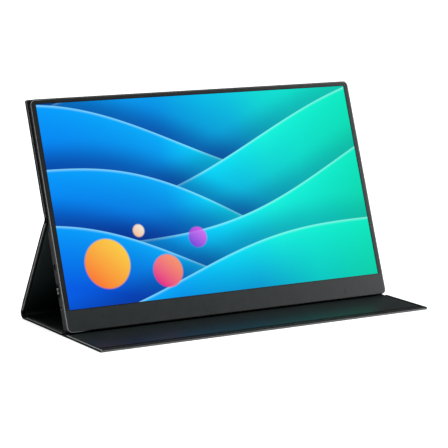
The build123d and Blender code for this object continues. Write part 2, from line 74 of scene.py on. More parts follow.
# %% [markdown]
# ## Where things are
# The monitor leans back and the cover's four panels each lie their own way. So each of them gets a
# function that turns a place on it (across, along, and how deep) into a point of the frame. The
# sizes are the CAD model's, each written once, and the pieces below are all made from them.

# %% Sizes, in millimetres and degrees
MM = 0.001
LEAN, LEG_SLOPE = 19.9, 60.72
TILT, LEG_ANGLE = math.radians(LEAN), math.radians(LEG_SLOPE)
SCREEN_Y, SCREEN_Z = -15.228, 4.335
PICTURE_WIDTH, PICTURE_HEIGHT, CHIN = 344.2, 193.6, 20.8
BODY_WIDTH, BODY_HEIGHT, BODY_CORNER = 354.8, 219.1, 5.0
JOG_UP, JOG_BACK = 39.9, 6.0
COVER_WIDTH, COVER_THICK, STRIP_THICK = 358.6, 2.6, 1.4
COVER_CORNER, HEM, HEM_GAP = 1.8, 3.3, 0.06
SKIN, BOARD = 0.7, 1.2
FOLD, FOLD_HEIGHT = Vector((28.159, 102.743)), 107.3
CORNER_Y, LEG_LENGTH = 85.772, 117.79
SPINE_RADIUS, SPINE_MIDDLE_Y = 6.0, 75.53
print("body:", BODY_WIDTH, "x", BODY_HEIGHT, "cover:", COVER_WIDTH, "wide")

# %% [markdown]
# ## Directions on each piece
# Five functions, one for the monitor and one for each panel, hold the leans and the turns. With
# them a piece is built where it stands, and its object stays at the origin, unturned.

# %% Places on the monitor and on each panel
def on_monitor(across, up, back):
    """A point on the monitor: across it, up its face, and back from its front."""
    y = SCREEN_Y + up * math.sin(TILT) + back * math.cos(TILT)
    z = SCREEN_Z + up * math.cos(TILT) - back * math.sin(TILT)
    return Vector((across, y, z)) * MM


def on_flap(across, along, inset):
    """A point on the front flap, along it forward from the screen, inset from its outside."""
    return Vector((across, SCREEN_Y - along, inset)) * MM


def on_base(across, along, inset):
    """A point on the base panel, along it backward from the screen."""
    return Vector((across, SCREEN_Y + along, inset)) * MM


def on_leg(across, along, inset):
    """A point on the leg, along it upward from the rear corner."""
    y = CORNER_Y - along * math.cos(LEG_ANGLE) - inset * math.sin(LEG_ANGLE)
    z = along * math.sin(LEG_ANGLE) - inset * math.cos(LEG_ANGLE)
    return Vector((across, y, z)) * MM


def on_back(across, along, inset):
    """A point on the back panel, along it upward from the fold."""
    y = FOLD.x + along * math.sin(TILT) - inset * math.cos(TILT)
    z = FOLD.y + along * math.cos(TILT) + inset * math.sin(TILT)
    return Vector((across, y, z)) * MM


PANELS = {
    "front_flap": (on_flap, "flap", -0.3, 66.3, COVER_CORNER),
    "base_panel": (on_base, "base", 10.0, 85.0, 0),
    "leg_panel": (on_leg, "leg", 10.6, LEG_LENGTH - 3.0, 0),
    "back_panel": (on_back, "back", 1.5, BODY_HEIGHT + 1.0 - FOLD_HEIGHT, COVER_CORNER),
}
print("picture middle:", [round(v, 4) for v in on_monitor(0, CHIN + PICTURE_HEIGHT / 2, 0)])

# %% [markdown]
# ## The camera
# The photograph was taken with a long lens from low on the left, so the screen's edges hardly
# converge. A camera can be aimed by eye, but here its place, aim and lens were solved from the
# four corners of the picture, whose real size is known, so that every edge can be compared.

# %% Place the camera
LENS, SENSOR, ROLL = 159.65, 36.0, 0.25
camera_data = bpy.data.cameras.new("photo_camera")
camera_data.lens = LENS
camera_data.sensor_width = SENSOR
camera = bpy.data.objects.new("photo_camera", camera_data)
scene.collection.objects.link(camera)
camera_place = Vector((-0.9698, -1.5934, 0.4108))
camera_aim = Vector((0.51096, 0.84249, -0.17079)).normalized()
camera_turn = camera_aim.to_track_quat("-Z", "Y").to_matrix()
camera_turn @= Matrix.Rotation(math.radians(ROLL), 3, "Z")
camera.matrix_world = Matrix.Translation(camera_place) @ camera_turn.to_4x4()
scene.camera = camera
print("camera aim:", [round(v, 4) for v in camera_aim], "lens:", LENS)

# %% [markdown]
# ## Helpers for node trees
# Materials and Geometry Nodes are both trees of nodes. A tree can be clicked together by hand; made
# in a script it can be read, repeated and changed in one place. Six short functions cover most of
# it: any node, a sum, a value carried from one range to another, a colour between two, a colour
# made lighter or darker, and a vector taken apart.

# %% Node helpers
def add_node(tree, kind, inputs=None, **settings):
    """Add a node, with its settings and its inputs by name or number."""
    node = tree.nodes.new(kind)
    for key, value in settings.items():
        setattr(node, key, value)
    for key, value in (inputs or {}).items():
        if isinstance(value, bpy.types.NodeSocket):
            tree.links.new(value, node.inputs[key])
        else:
            node.inputs[key].default_value = value
    return node


def calc(tree, how, *values):
    """The result of one sum, by the name of the operation."""
    return add_node(tree, "ShaderNodeMath", dict(enumerate(values)), operation=how).outputs[0]


def ramp(tree, value, first, last, low=0.0, high=1.0, how="LINEAR"):
    """Carry a value that runs from first to last over to low and high, and hold it beyond them."""
    return add_node(tree, "ShaderNodeMapRange", {
        "Value": value, "From Min": first, "From Max": last, "To Min": low, "To Max": high},
        interpolation_type=how).outputs[0]


def mix(tree, share, first, second):
    """A colour between two, by a share from 0 to 1."""
    ends = [(*colour, 1) if isinstance(colour, tuple) else colour for colour in (first, second)]
    inputs = {"Factor": share, 6: ends[0], 7: ends[1]}
    return add_node(tree, "ShaderNodeMix", inputs, data_type="RGBA").outputs[2]


def times(tree, colour, share):
    """A colour made lighter or darker by a share."""
    return add_node(tree, "ShaderNodeVectorMath", {0: colour, "Scale": share}, operation="SCALE").outputs[0]


def split_xyz(tree, vector):
    """The x, y and z of a vector."""
    return tuple(add_node(tree, "ShaderNodeSeparateXYZ", {0: vector}).outputs)


print("node helpers: add_node, calc, ramp, mix, times, split_xyz")

# %% [markdown]
# ## Helpers for finishes
# Every finish is a Principled shader with a few patterns: one for slow changes of colour, one for
# roughness, and one or two for the small bumps that catch the light. Patterns read Object
# coordinates, so they keep their real size on every piece. An image could do the same, but it would
# need unwrapped pieces and would blur close up, where noise stays sharp.

# %% Patterns and the shader
def new_finish(name, colour, roughness, **sockets):
    """A material with one Principled shader, and its tree and shader."""
    finish = bpy.data.materials.new(name)
    finish.use_nodes = True
    tree = finish.node_tree
    tree.nodes.clear()
    inputs = {key.replace("_", " "): value for key, value in sockets.items()}
    shader = add_node(tree, "ShaderNodeBsdfPrincipled", {
        "Base Color": (*colour, 1), "Roughness": roughness, **inputs})
    add_node(tree, "ShaderNodeOutputMaterial", {0: shader.outputs[0]})
    return finish, tree, shader


def object_places(tree, turn=(0, 0, 0), shift=(0, 0, 0), stretch=(1, 1, 1)):
    """Object coordinates, turned and centred for a pattern."""
    coords = add_node(tree, "ShaderNodeTexCoord").outputs["Object"]
    return add_node(tree, "ShaderNodeMapping", {
        "Vector": coords, "Location": shift, "Rotation": turn, "Scale": stretch}).outputs[0]


def noise(tree, places, size, detail=3.0):
    """Cloudy noise whose blobs are about size millimetres."""
    return add_node(tree, "ShaderNodeTexNoise", {
        "Vector": places, "Scale": 1 / (size * MM), "Detail": detail, "Roughness": 0.5}).outputs["Fac"]


def cloudy(tree, places, size, dark, light, detail=3.0):
    """A colour that drifts between two in blobs of a size."""
    return mix(tree, noise(tree, places, size, detail), dark, light)


def uneven(tree, places, size, low, high):
    """A number that drifts between two in blobs of a size."""
    return ramp(tree, noise(tree, places, size), 0.3, 0.7, low, high)


def coat(tree, shader, colour, roughness, *layers):
    """Give a shader its colour, roughness and bump layers, each (height, depth in millimetres)."""
    normal = None
    for height, depth in layers:
        bump = add_node(tree, "ShaderNodeBump", {"Height": height, "Distance": depth * MM})
        if normal:
            tree.links.new(normal, bump.inputs["Normal"])
        normal = bump.outputs[0]
    for name, value in (("Base Color", colour), ("Roughness", roughness), ("Normal", normal)):
        tree.links.new(value, shader.inputs[name])


print("pattern helpers: object_places, noise, cloudy, uneven, coat")

# %% [markdown]
# ## Two common finishes
# Most pieces are either moulded or drawn, so each of these gets one recipe. Plastic changes slowly
# in colour and has a fine spark texture; drawn metal has streaks that run one way.

# %% Moulded and drawn
def moulded_finish(name, dark, light, rough, grain, depth, **sockets):
    """Moulded plastic or paint: slow colour change, uneven gloss and a fine spark texture."""
    finish, tree, shader = new_finish(name, light, rough, **sockets)
    places = object_places(tree)
    coat(tree, shader, cloudy(tree, places, 40, dark, light),
         uneven(tree, places, 9, rough - 0.05, rough + 0.06), (noise(tree, places, grain, 2), depth))
    return finish


def brushed_finish(name, dark, light, rough, along):
    """Metal drawn along one way: streaks in colour and gloss, long in that direction."""
    finish, tree, shader = new_finish(name, light, rough, Metallic=1.0)
    places = object_places(tree)
    streaks = object_places(tree, stretch=tuple(0.03 if a else 1 for a in along))
    coat(tree, shader, cloudy(tree, streaks, 0.5, dark, light, 4),
         uneven(tree, places, 5, rough - 0.06, rough + 0.1), (noise(tree, streaks, 0.4, 3), 0.01))
    return finish


print("recipes: moulded_finish, brushed_finish")

# %% [markdown]
# ## The cover's leather
# The cover is black coated cloth with a fine pebble grain. A Voronoi pattern gives the pebbles,
# fine noise breaks them up, and a slow swell stands for the board showing through. Painted light
# and shade along the edges are written into the mesh as a number at each point, because only the
# mesh knows where its creases are: above 0 the coat gets a painted highlight, and below 0 the cut
# side gets painted shade. The coat is also paler over its middle, is kept darker along the sides
# and the front as painted shade, and gets painted shade along its right edge.

# %% Leather
# Colours of the painted highlight and painted shade on the edges, and where the painted shade along the
# sides, front and right edge lies.
PAINTED_HIGHLIGHT, PAINTED_SHADE = (0.50, 0.52, 0.51), (0.002, 0.002, 0.002)
EDGE_SHADE_SIDES, EDGE_SHADE_FRONT = (174 * MM, 160 * MM), (-77 * MM, -70 * MM)
RIGHT_EDGE_SHADE = (175.2 * MM, 176.2 * MM)


def edge_light_marks(tree):
    """The painted highlight (above 0) and painted shade (below 0) that the mesh carries."""
    return add_node(tree, "ShaderNodeAttribute", attribute_name="edge_light_and_shade").outputs["Fac"]


def leather_finish():
    """Pebbled matt leather, paler over its middle, with painted highlights along its creases and painted
    shade on its sides, front and right edge.
    """
    finish, tree, shader = new_finish(
        "black_grained_leather", (0.012, 0.013, 0.013), 0.5, Specular_IOR_Level=0.02)
    places = object_places(tree)
    across, along, _ = split_xyz(tree, places)
    pebbles = add_node(tree, "ShaderNodeTexVoronoi", {"Vector": places, "Scale": 1 / (1.1 * MM)},
                       feature="SMOOTH_F1").outputs["Distance"]
    body = cloudy(tree, places, 25, (0.010, 0.011, 0.011), (0.017, 0.018, 0.018))
    body = mix(tree, ramp(tree, pebbles, 0.35, 0.65), body, (0.005, 0.0055, 0.0055))
    # Painted shade: the coat is kept darker along the sides and the front, and paler over the middle.
    clear_of_edge_shade = calc(tree, "MULTIPLY", ramp(tree, calc(tree, "ABSOLUTE", across), *EDGE_SHADE_SIDES),
                   ramp(tree, along, *EDGE_SHADE_FRONT))
    body = times(tree, body, calc(tree, "MULTIPLY_ADD", clear_of_edge_shade, 1.5, 1.0))
    mark = edge_light_marks(tree)
    # Painted shade: cut sides (marks below 0) and the right edge are painted near black.
    painted_shade_share = calc(tree, "MAXIMUM", ramp(tree, mark, 0.0, -1.0), ramp(tree, across, *RIGHT_EDGE_SHADE))
    body = mix(tree, painted_shade_share, body, PAINTED_SHADE)
    # Painted highlight: creases and the flap's front face (marks above 0) are painted pale.
    highlight_share = calc(tree, "MULTIPLY", ramp(tree, mark, 0.0, 1.0), uneven(tree, places, 7, 0.7, 1.0))
    coat(tree, shader, mix(tree, highlight_share, body, PAINTED_HIGHLIGHT), uneven(tree, places, 6, 0.42, 0.58),
         (noise(tree, places, 45, 1), 0.3), (pebbles, 0.08), (noise(tree, places, 0.3, 3), 0.02))
    return finish


leather = leather_finish()
print("cover finish:", leather.name)

# %% [markdown]
# ## The lining and the thread
# The lining is smoother than the leather and a little glossier, which is why it mirrors the screen
# softly on the front flap. It is darkened under the monitor as painted shade, and painted paler up
# the leg as painted light from above. Both changes follow the height and the depth in the cover, so
# two ramps on the Object coordinates are enough. Its cut sides and its groove at the flap's front
# get painted shade from the marks in the mesh.

# %% Lining and thread
def lining_finish():
    """The smoother, slightly glossy cloth inside the cover, with painted shade under the monitor and
    painted light up the leg.
    """
    finish, tree, shader = new_finish(
        "black_smooth_lining", (0.011, 0.0125, 0.012), 0.36, Specular_IOR_Level=0.11)
    places = object_places(tree)
    _, along, up = split_xyz(tree, places)
    # Painted shade under the monitor, painted light up the leg.
    shade = calc(tree, "ADD", ramp(tree, along, 0.0, 30 * MM, 1.0, 0.5),
                 ramp(tree, up, 4 * MM, 100 * MM, 0.0, 3.2))
    body = times(tree, cloudy(tree, places, 30, (0.0074, 0.0103, 0.0103), (0.0118, 0.0160, 0.0160)), shade)
    # Painted shade in the front groove and on the cut sides.
    body = mix(tree, ramp(tree, edge_light_marks(tree), 0.0, -1.0), body, PAINTED_SHADE)
    coat(tree, shader, body, uneven(tree, places, 12, 0.32, 0.40),
         (noise(tree, places, 60, 1), 0.2), (noise(tree, places, 0.5, 4), 0.02))
    return finish


lining = lining_finish()
thread = moulded_finish("black_thread", (0.015, 0.015, 0.015), (0.035, 0.035, 0.035), 0.6, 0.25, 0.05)
print("cover finishes:", lining.name, thread.name)

# %% [markdown]
# ## Making meshes
# Sheet goods are easiest to make as rings of points: one ring for each place along the sheet, and
# a strip of faces between each two rings. It keeps the faces in clean rows, closes the ends, and
# lets a rounded edge be drawn once and carried along the whole sheet.

# %% Mesh helpers
def make_piece(name, mesh_data, finishes, sharp=38):
    """An object at the origin from a bmesh, smooth except across sharp angles."""
    bmesh.ops.remove_doubles(mesh_data, verts=mesh_data.verts, dist=1e-7)
    bmesh.ops.recalc_face_normals(mesh_data, faces=mesh_data.faces)
    mesh = bpy.data.meshes.new(name)
    mesh_data.to_mesh(mesh)
    mesh_data.free()
    for finish in finishes:
        mesh.materials.append(finish)
    mesh.shade_smooth()
    mesh.set_sharp_from_angle(angle=math.radians(sharp))
    piece = bpy.data.objects.new(name, mesh)
    scene.collection.objects.link(piece)
    return piece


def loft(mesh_data, rings, edge_lights, slots=None):
    """Join closed rings of points one to the next, and close both ends."""
    light_layer = mesh_data.verts.layers.float.new("edge_light_and_shade")
    rows = [[mesh_data.verts.new(point) for point in ring] for ring in rings]
    for row in rows:
        for vert, value in zip(row, edge_lights):
            vert[light_layer] = value
    count = len(edge_lights)
    for low, high in zip(rows, rows[1:]):
        for k in range(count):
            after = (k + 1) % count
            face = mesh_data.faces.new((low[k], low[after], high[after], high[k]))
            face.material_index = slots[k] if slots else 0
    mesh_data.faces.new(rows[0])
    mesh_data.faces.new(rows[-1])


def quarter(middle, radius, start, steps=5):
    """Points of a quarter turn about a middle, from a start angle in degrees, clockwise."""
    turn = [math.radians(start - 90 * n / steps) for n in range(steps + 1)]
    return [(middle[0] + radius * math.cos(a), middle[1] + radius * math.sin(a)) for a in turn]


print("mesh helpers: make_piece, loft, quarter")

# %% [markdown]
# ## The edge of a panel
# Each panel is a stiff board wrapped in leather. The leather lies flat on the outside, turns round
# the edge, and ends in a hem 3.3 mm wide on the inside, with the lining set into the hem. A flat
# box with a bevel would miss all of that, so the edge is drawn as a profile of (inward, inset)
# points. Where the leather is doubled it stands a little proud, and that bead fades inward.

# %% Draw the edge profiles
EDGE_ROUND, BEAD_END, BEAD_FADE, EDGE_END = 0.95, 7.0, 5.5, 8.0
BEAD = {"front_flap": 0.0, "base_panel": 0.0, "leg_panel": 0.7, "back_panel": 0.7}


def bead(panel, inward):
    """How far the doubled leather stands proud of the outside, fading out behind the edge."""
    return BEAD[panel] * min(1.0, max(0.0, (BEAD_END - inward) / BEAD_FADE))


def turned_edge(panel, full):
    """The leather's profile round a panel's edge, with its bead full (1) or flat at a fold (0)."""
    proud = bead(panel, 0) * full
    outer = quarter((EDGE_ROUND, EDGE_ROUND - proud), EDGE_ROUND, 270)
    inner = quarter((EDGE_ROUND, COVER_THICK - EDGE_ROUND), EDGE_ROUND, 180)
    hem = [(1.35, COVER_THICK), (HEM - 0.4, COVER_THICK)]
    hem += [(HEM - 0.12, COVER_THICK - 0.08), (HEM, COVER_THICK - 0.25)]
    hidden = [(HEM, SKIN + BOARD), (SKIN, SKIN + BOARD), (SKIN, SKIN), (BEAD_END, SKIN), (EDGE_END, SKIN)]
    flat = [(EDGE_END, 0.0), (BEAD_END, 0.0), (4.2, -0.5 * proud), (1.6, -proud)]
    return flat + outer + inner + hem + hidden


LINING_EDGE = [
    (1.6, SKIN + BOARD), (0.0, SKIN + BOARD), (0.0, COVER_THICK - 0.58), (0.72, COVER_THICK - 0.55),
    (0.78, COVER_THICK - 0.14), (0.9, COVER_THICK - 0.03), (1.1, COVER_THICK), (1.6, COVER_THICK),
    (3.0, COVER_THICK),
]
print("edge profile points:", len(turned_edge("leg_panel", 1.0)), "and", len(LINING_EDGE))

# %% [markdown]
# ## Painted light and shade on the edge
# A crease gets a painted highlight, and a cut side gets painted shade. One function says so for any point
# of the profile. At the front of the flap the low side gets painted light instead, where the front face is
# lit.

# %% Painted light and shade of the edge
# Strength of the painted highlight on each panel's crease, and of the painted light on the flap's front
# face.
EDGE_HIGHLIGHT = {"front_flap": 0.85, "base_panel": 0.55, "leg_panel": 1.0, "back_panel": 0.5}
CREASE_IN, CREASE_INSET, FRONT_FACE_LIGHT, SIDE_WIDTH = 0.50, COVER_THICK - 0.15, 0.26, 0.73


def edge_light_and_shade(inward, inset, highlight, front=0.0):
    """1 for a painted highlight, -1 for painted shade; a strength of 0 is the lining in its groove, with
    painted shade on its sides and at the front.
    """
    # Painted shade on the cut side.
    side = -1.0 if inward < SIDE_WIDTH and inset < COVER_THICK - 0.3 else 0.0
    if not highlight:
        return min(side, -front if inward < 2 else 0.0)
    from_crease = math.hypot(inward - CREASE_IN, inset - CREASE_INSET)
    # Painted highlight along the crease, fading away from it.
    crease = highlight * max(0.0, 1 - from_crease / (0.30 + 0.35 * highlight))
    # Painted light on the flap's front face, low on its side.
    low = FRONT_FACE_LIGHT if inward < CREASE_IN and 0.1 < inset < COVER_THICK - 0.8 else 0.0
    return (crease or side) * (1 - front) + low * front


print("rub:", EDGE_HIGHLIGHT)

# %% [markdown]
# ## Carrying the edge round a panel
# The base and the leg have the edge at their two sides, so rings across the panel will do. The flap
# and the back panel have it round three sides with rounded corners: there the profile is set up at
# each point of the outline, facing inward. Rings deeper than the corner's radius would cross, so
# past that depth they meet in a mitre.

# %% Sheets with a turned edge
# The last of these is the strength of the painted highlight on the flap's left front tip.
FRONT_HEM, FRONT_GROOVE, BEAD_RUN, TIP_HIGHLIGHT = 2.5, 1.3, 8.0, 3.0


def tongue_outline(width, start, end, corner, steps=9):
    """The free edge of a flap or back panel: (across, along) points, each with its way inward."""
    half = width / 2
    outline = [((-half, along), (1, 0)) for along in (start, start + BEAD_RUN, end - corner)]
    for side, first in ((-1, 180), (1, 90)):
        middle = (side * (half - corner), end - corner)
        for n in range(1 if side < 0 else 0, steps + 1 if side < 0 else steps):
            a = math.radians(first - 90 * n / steps)
            outline.append(((middle[0] + corner * math.cos(a), middle[1] + corner * math.sin(a)),
                            (-math.cos(a), -math.sin(a))))
    return outline + [((half, along), (-1, 0)) for along in (end - corner, start + BEAD_RUN, start)]


def tongue_sheet(mesh_data, place, edge, width, start, end, corner, highlight, front):
    """The edge round three free sides. Front is (inward, inset, shift): what lies past both moves back."""
    light_layer = mesh_data.verts.layers.float.new("edge_light_and_shade")
    rows = []
    for (across, along), (in_across, in_along) in tongue_outline(width, start, end, corner):
        turned = along > end - corner - 1e-6
        facing = min(1.0, max(0.0, -2 * in_along - 1)) if front[2] else 0.0
        row = []
        for d, t in edge(1.0 if along > start else 0.0):
            past = max(0.0, d - corner) if turned else 0.0
            x = across + in_across * (d - past) - math.copysign(past, across)
            a = along + in_along * (d - past) - past
            if turned and d > front[0] and t >= front[1]:
                a -= front[2]
            row.append(mesh_data.verts.new(place(x, a, t)))
            row[-1][light_layer] = edge_light_and_shade(d, t, highlight, facing)
            # Painted highlight on the left front tip of the flap.
            if highlight and across < 0 and d < 1.0 and t > 0.8:
                row[-1][light_layer] += TIP_HIGHLIGHT * facing * (1 - facing)
        rows.append(row)
    for low, high in zip(rows, rows[1:]):
        for k in range(len(low) - 1):
            mesh_data.faces.new((low[k], low[k + 1], high[k + 1], high[k]))
    for cap in ([row[0] for row in rows], [row[-1] for row in rows], rows[0] + rows[-1][::-1]):
        mesh_data.faces.new(cap)


def band_sheet(mesh_data, place, edge, width, start, end, highlight):
    """A sheet with its edge profile at its two sides only."""
    half = width / 2
    rings = []
    for along, full in ((start, 0.0), (start + BEAD_RUN, 1.0), (end - BEAD_RUN, 1.0), (end, 0.0)):
        section = [(d - half, t) for d, t in edge(full)] + [(half - d, t) for d, t in edge(full)[::-1]]
        rings.append([place(x, along, t) for x, t in section])
    edge_lights = [edge_light_and_shade(d, t, highlight) for d, t in edge(1.0)]
    loft(mesh_data, rings, edge_lights + edge_lights[::-1])


print("hem at the front:", HEM + FRONT_HEM)

# %% [markdown]
# ## The four panels
# Now each panel gets its two layers: the leather that wraps the board, and the lining set into the
# hem. At the flap's front the hem is wider and the groove before the lining is open. Each takes
# the place of its CAD solid and rides the same body.

# %% Wrap the boards in leather
NO_FRONT, LEAST_CORNER = (0.0, 0.0, 0.0), 0.8


def panel_sheet(name, panel, edge, inset, finish, front):
    """One layer of a panel, as deep into the cover as its edge says."""
    place, body, start, end, corner = PANELS[panel]
    mesh_data = bmesh.new()
    width = COVER_WIDTH - 2 * inset
    highlight = 0.0 if inset else EDGE_HIGHLIGHT[panel]
    if corner:
        back = inset + (FRONT_HEM if inset and front[2] else 0.0)
        corner = max(LEAST_CORNER, corner - inset)
        tongue_sheet(mesh_data, place, edge, width, start, end - back, corner, highlight, front)
    else:
        band_sheet(mesh_data, place, edge, width, start, end, highlight)
    piece = make_piece(name, mesh_data, [finish])
    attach(piece, body)
    return piece


for panel in PANELS:
    at_front = panel == "front_flap"
    wider = (HEM - 0.5, SKIN + BOARD, FRONT_HEM) if at_front else NO_FRONT
    groove = (0.7, COVER_THICK - 0.56, FRONT_GROOVE) if at_front else NO_FRONT
    wrap = panel_sheet(f"{panel}_wrap", panel, partial(turned_edge, panel), 0, leather, wider)
    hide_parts(f"{panel}_skin")
    inlay = panel_sheet(f"{panel}_inlay", panel, lambda full: LINING_EDGE, HEM + HEM_GAP, lining, groove)
    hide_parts(f"{panel}_lining")
    print(panel, "faces:", len(wrap.data.polygons), "+", len(inlay.data.polygons))

# %% [markdown]
# ## The folds
# Between the panels there is no board, only leather and lining glued together, so the cover can
# fold there. Each fold is a strip drawn in side view as stations: a point of the outside, the way
# inward, and the thickness. The strip is thick where it climbs onto a board and thin between. A
# flat sheet and a bend modifier would be quicker, but could not climb onto the boards.

# %% Stations of a fold
def straight(place, alongs, thicks):
    """Stations along a panel's outside."""
    stations = []
    for along, thick in zip(alongs, thicks):
        outside, inside = place(0, along, 0) / MM, place(0, along, 1) / MM
        inward = inside - outside
        stations.append((Vector(outside[1:]), Vector(inward[1:]), thick))
    return stations


def turn_stations(middle, radius, first, last, steps, side, thick):
    """Stations round an arc, with the cover's inside toward its middle (1) or away from it (-1)."""
    stations = []
    for n in range(steps + 1):
        a = math.radians(first + (last - first) * n / steps)
        away = Vector((math.cos(a), math.sin(a)))
        stations.append((middle + radius * away, -side * away, thick))
    return stations


CLIMB = [COVER_THICK, 2.25, 1.7, 1.46, STRIP_THICK]
crease = straight(on_base, [0.3, 0.55, 0.85, 1.2, 1.7, 3.5, 6, 8.4, 9.0, 9.4, 9.65, 9.82, 10.0],
                  CLIMB + [STRIP_THICK] * 3 + [1.42, 1.5, 1.75, 2.2, COVER_THICK])
spine = straight(on_base, [85.0, 85.4, 85.9, 86.6, 87.6], CLIMB)
spine_middle = Vector((SPINE_MIDDLE_Y, SPINE_RADIUS))
spine += turn_stations(spine_middle, SPINE_RADIUS, -90, 90 - LEG_SLOPE, 18, 1, STRIP_THICK)
for n, thick in ((-2, 1.5), (-1, 1.9)):
    spine[n] = (*spine[n][:2], thick)
spine += straight(on_leg, [10.4, 10.6], [2.35, COVER_THICK])
print("stations:", len(crease), len(spine))

# %% [markdown]
# ## The ridge
# At the top of the leg the cover folds the other way, outside in, round a small bend. The bend
# touches the outsides of both panels, so its middle lies on the line that halves their angle.

# %% Place the ridge
BEND_ROUND = 0.6
leg_way, back_way = 270 - LEG_SLOPE, 180 - LEAN
half_turn, bisector = (math.radians(way / 2) for way in (leg_way - back_way, leg_way + back_way))
bend_middle = FOLD - BEND_ROUND / math.cos(half_turn) * Vector((math.cos(bisector), math.sin(bisector)))
ridge = straight(on_leg, [LEG_LENGTH - 3 + n for n in (0.0, 0.35, 0.8, 1.3, 2.2)], CLIMB)
ridge += turn_stations(bend_middle, BEND_ROUND, leg_way, back_way, 8, -1, STRIP_THICK)
ridge += straight(on_back, [0.6, 0.9, 1.2, 1.5], [1.46, 1.7, 2.25, COVER_THICK])
FOLDS = {
    "crease": (crease, "crease_strip", ("base", "flap"), on_base(0, 2.3, 0), on_base(0, 0.3, 0)),
    "spine": (spine, "spine_strip", ("base", "leg"), on_base(0, 89.5, 0), on_leg(0, 10.6, 0)),
    "ridge": (ridge, "fold_strip", ("leg", "back"), on_leg(0, LEG_LENGTH - 0.8, 0), on_back(0, 0.8, 0)),
}
print("bend's middle:", [round(v, 2) for v in bend_middle])

# %% [markdown]
# ## The strips
# The stations become rings: the strip's outline, laid across the cover at each.

# %% Sew in the folding strips
def fold_section(thick):
    """The strip's outline across the cover, with a rounded edge and a hem at both sides."""
    half = COVER_WIDTH / 2
    edge_round = min(EDGE_ROUND, 0.45 * thick)
    side = quarter((edge_round, edge_round), edge_round, 270, 4)
    side += quarter((edge_round, thick - edge_round), edge_round, 180, 4)
    side += [(HEM - 0.3, thick), (HEM, thick - 0.2), (HEM, thick - 0.45)]
    side += [(HEM + 0.8, thick - 0.45), (HEM + 0.8, thick - 0.2), (HEM + 1.1, thick)]
    return [(d - half, t) for d, t in side] + [(half - d, t) for d, t in side[::-1]]


def fold_piece(name, stations):
    """A strip along its stations, its sides given painted shade and its middle lined."""
    rings = []
    for point, inward, thick in stations:
        section = fold_section(thick)
        rings.append([Vector((x, point.x + t * inward.x, point.y + t * inward.y)) * MM for x, t in section])
    # Painted shade on the strip's sides.
    edge_lights = [-1.0 if COVER_WIDTH / 2 - abs(x) < 0.6 else 0.0 for x, t in fold_section(STRIP_THICK)]
    lined = len(edge_lights) // 2 - 1
    mesh_data = bmesh.new()
    loft(mesh_data, rings, edge_lights, [int(k == lined) for k in range(len(edge_lights))])
    return make_piece(name, mesh_data, [leather, lining])


for name, (stations, node, bodies, start, end) in FOLDS.items():
    fold = fold_piece(f"{name}_fold", stations)
    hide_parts(node)
    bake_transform(fold)
    print(fold.name, "faces:", len(fold.data.polygons))

# %% [markdown]
# ## Growing pieces from a tree
# Stitches, screws and contacts are equal small things along a path or at points: work for Geometry
# Nodes. Each tree has named inputs for its sizes, so that one number changes all copies at once. It
# ends by making its instances real and giving them their finish, and the result is kept as a
# plain mesh.

# %% Helpers for geometry trees
def new_tree(name, wanted):
    """A tree with named inputs, from (name, kind, value): the tree, its inputs and their identifiers."""
    tree = bpy.data.node_groups.new(name, "GeometryNodeTree")
    identifiers = {}
    for label, kind, value in wanted:
        socket = tree.interface.new_socket(label, in_out="INPUT", socket_type=f"NodeSocket{kind}")
        if value is not None:
            socket.default_value = value
        identifiers[label] = socket.identifier
    return tree, add_node(tree, "NodeGroupInput").outputs, identifiers


def end_tree(tree, points, instance, finish, **placing):
    """Put an instance at each point, make all real, set the finish, and give it out."""
    tree.interface.new_socket("Pieces", in_out="OUTPUT", socket_type="NodeSocketGeometry")
    placed = add_node(tree, "GeometryNodeInstanceOnPoints", {
        "Points": points, "Instance": instance, **placing})
    real = add_node(tree, "GeometryNodeRealizeInstances", {"Geometry": placed.outputs[0]}).outputs[0]
    finished = add_node(tree, "GeometryNodeSetMaterial", {"Geometry": real, "Material": finish}).outputs[0]
    add_node(tree, "NodeGroupOutput", {"Pieces": finished})


def moved(tree, mesh, way):
    """A mesh moved by a vector."""
    return add_node(tree, "GeometryNodeTransform", {"Geometry": mesh, "Translation": way}).outputs[0]


def join_xyz(tree, x=0.0, y=0.0, z=0.0):
    """A vector from three values or sockets."""
    return add_node(tree, "ShaderNodeCombineXYZ", {0: x, 1: y, 2: z}).outputs[0]


print("tree helpers: new_tree, end_tree, moved, join_xyz")

# %% [markdown]
# ## Making a tree's result a piece
# The tree runs as a modifier on a mesh of bare lines. Its inputs are set by their identifiers, the
# object is evaluated once, and a new object takes the finished mesh.

# %% Grow a piece
def grown_piece(name, lines, tree, values):
    """A plain mesh piece from a node tree run along lines of points."""
    points = [point for line in lines for point in line]
    edges, first = [], 0
    for line in lines:
        edges += [(first + n, first + n + 1) for n in range(len(line) - 1)]
        first += len(line)
    mesh = bpy.data.meshes.new(f"{name}_path")
    mesh.from_pydata(points, edges, [])
    path = bpy.data.objects.new(f"{name}_path", mesh)
    scene.collection.objects.link(path)
    grower = path.modifiers.new("grow", "NODES")
    grower.node_group = tree
    for identifier, value in values.items():
        grower[identifier] = value
    bpy.context.view_layer.update()
    grown = bpy.data.meshes.new_from_object(path.evaluated_get(bpy.context.evaluated_depsgraph_get()))
    path.modifiers.clear()
    bpy.data.objects.remove(path)
    grown.name = name
    grown.shade_smooth()
    piece = bpy.data.objects.new(name, grown)
    scene.collection.objects.link(piece)
    return piece


print("helper: grown_piece")

# %% [markdown]
# ## The seam round the cover
# A row of black stitches holds the hem down, on both faces of the cover. The tree turns a line into
# a curve, spaces points along it by the pitch, and puts one small thread loop on each, turned along
# the line. A loop is a sphere of few faces, drawn out long, because there are hundreds of them.

# %% Draw a stitch
SEAM_INSET, PITCH, STITCH_LENGTH, THREAD_WIDTH = 1.8, 2.5, 1.9, 0.42


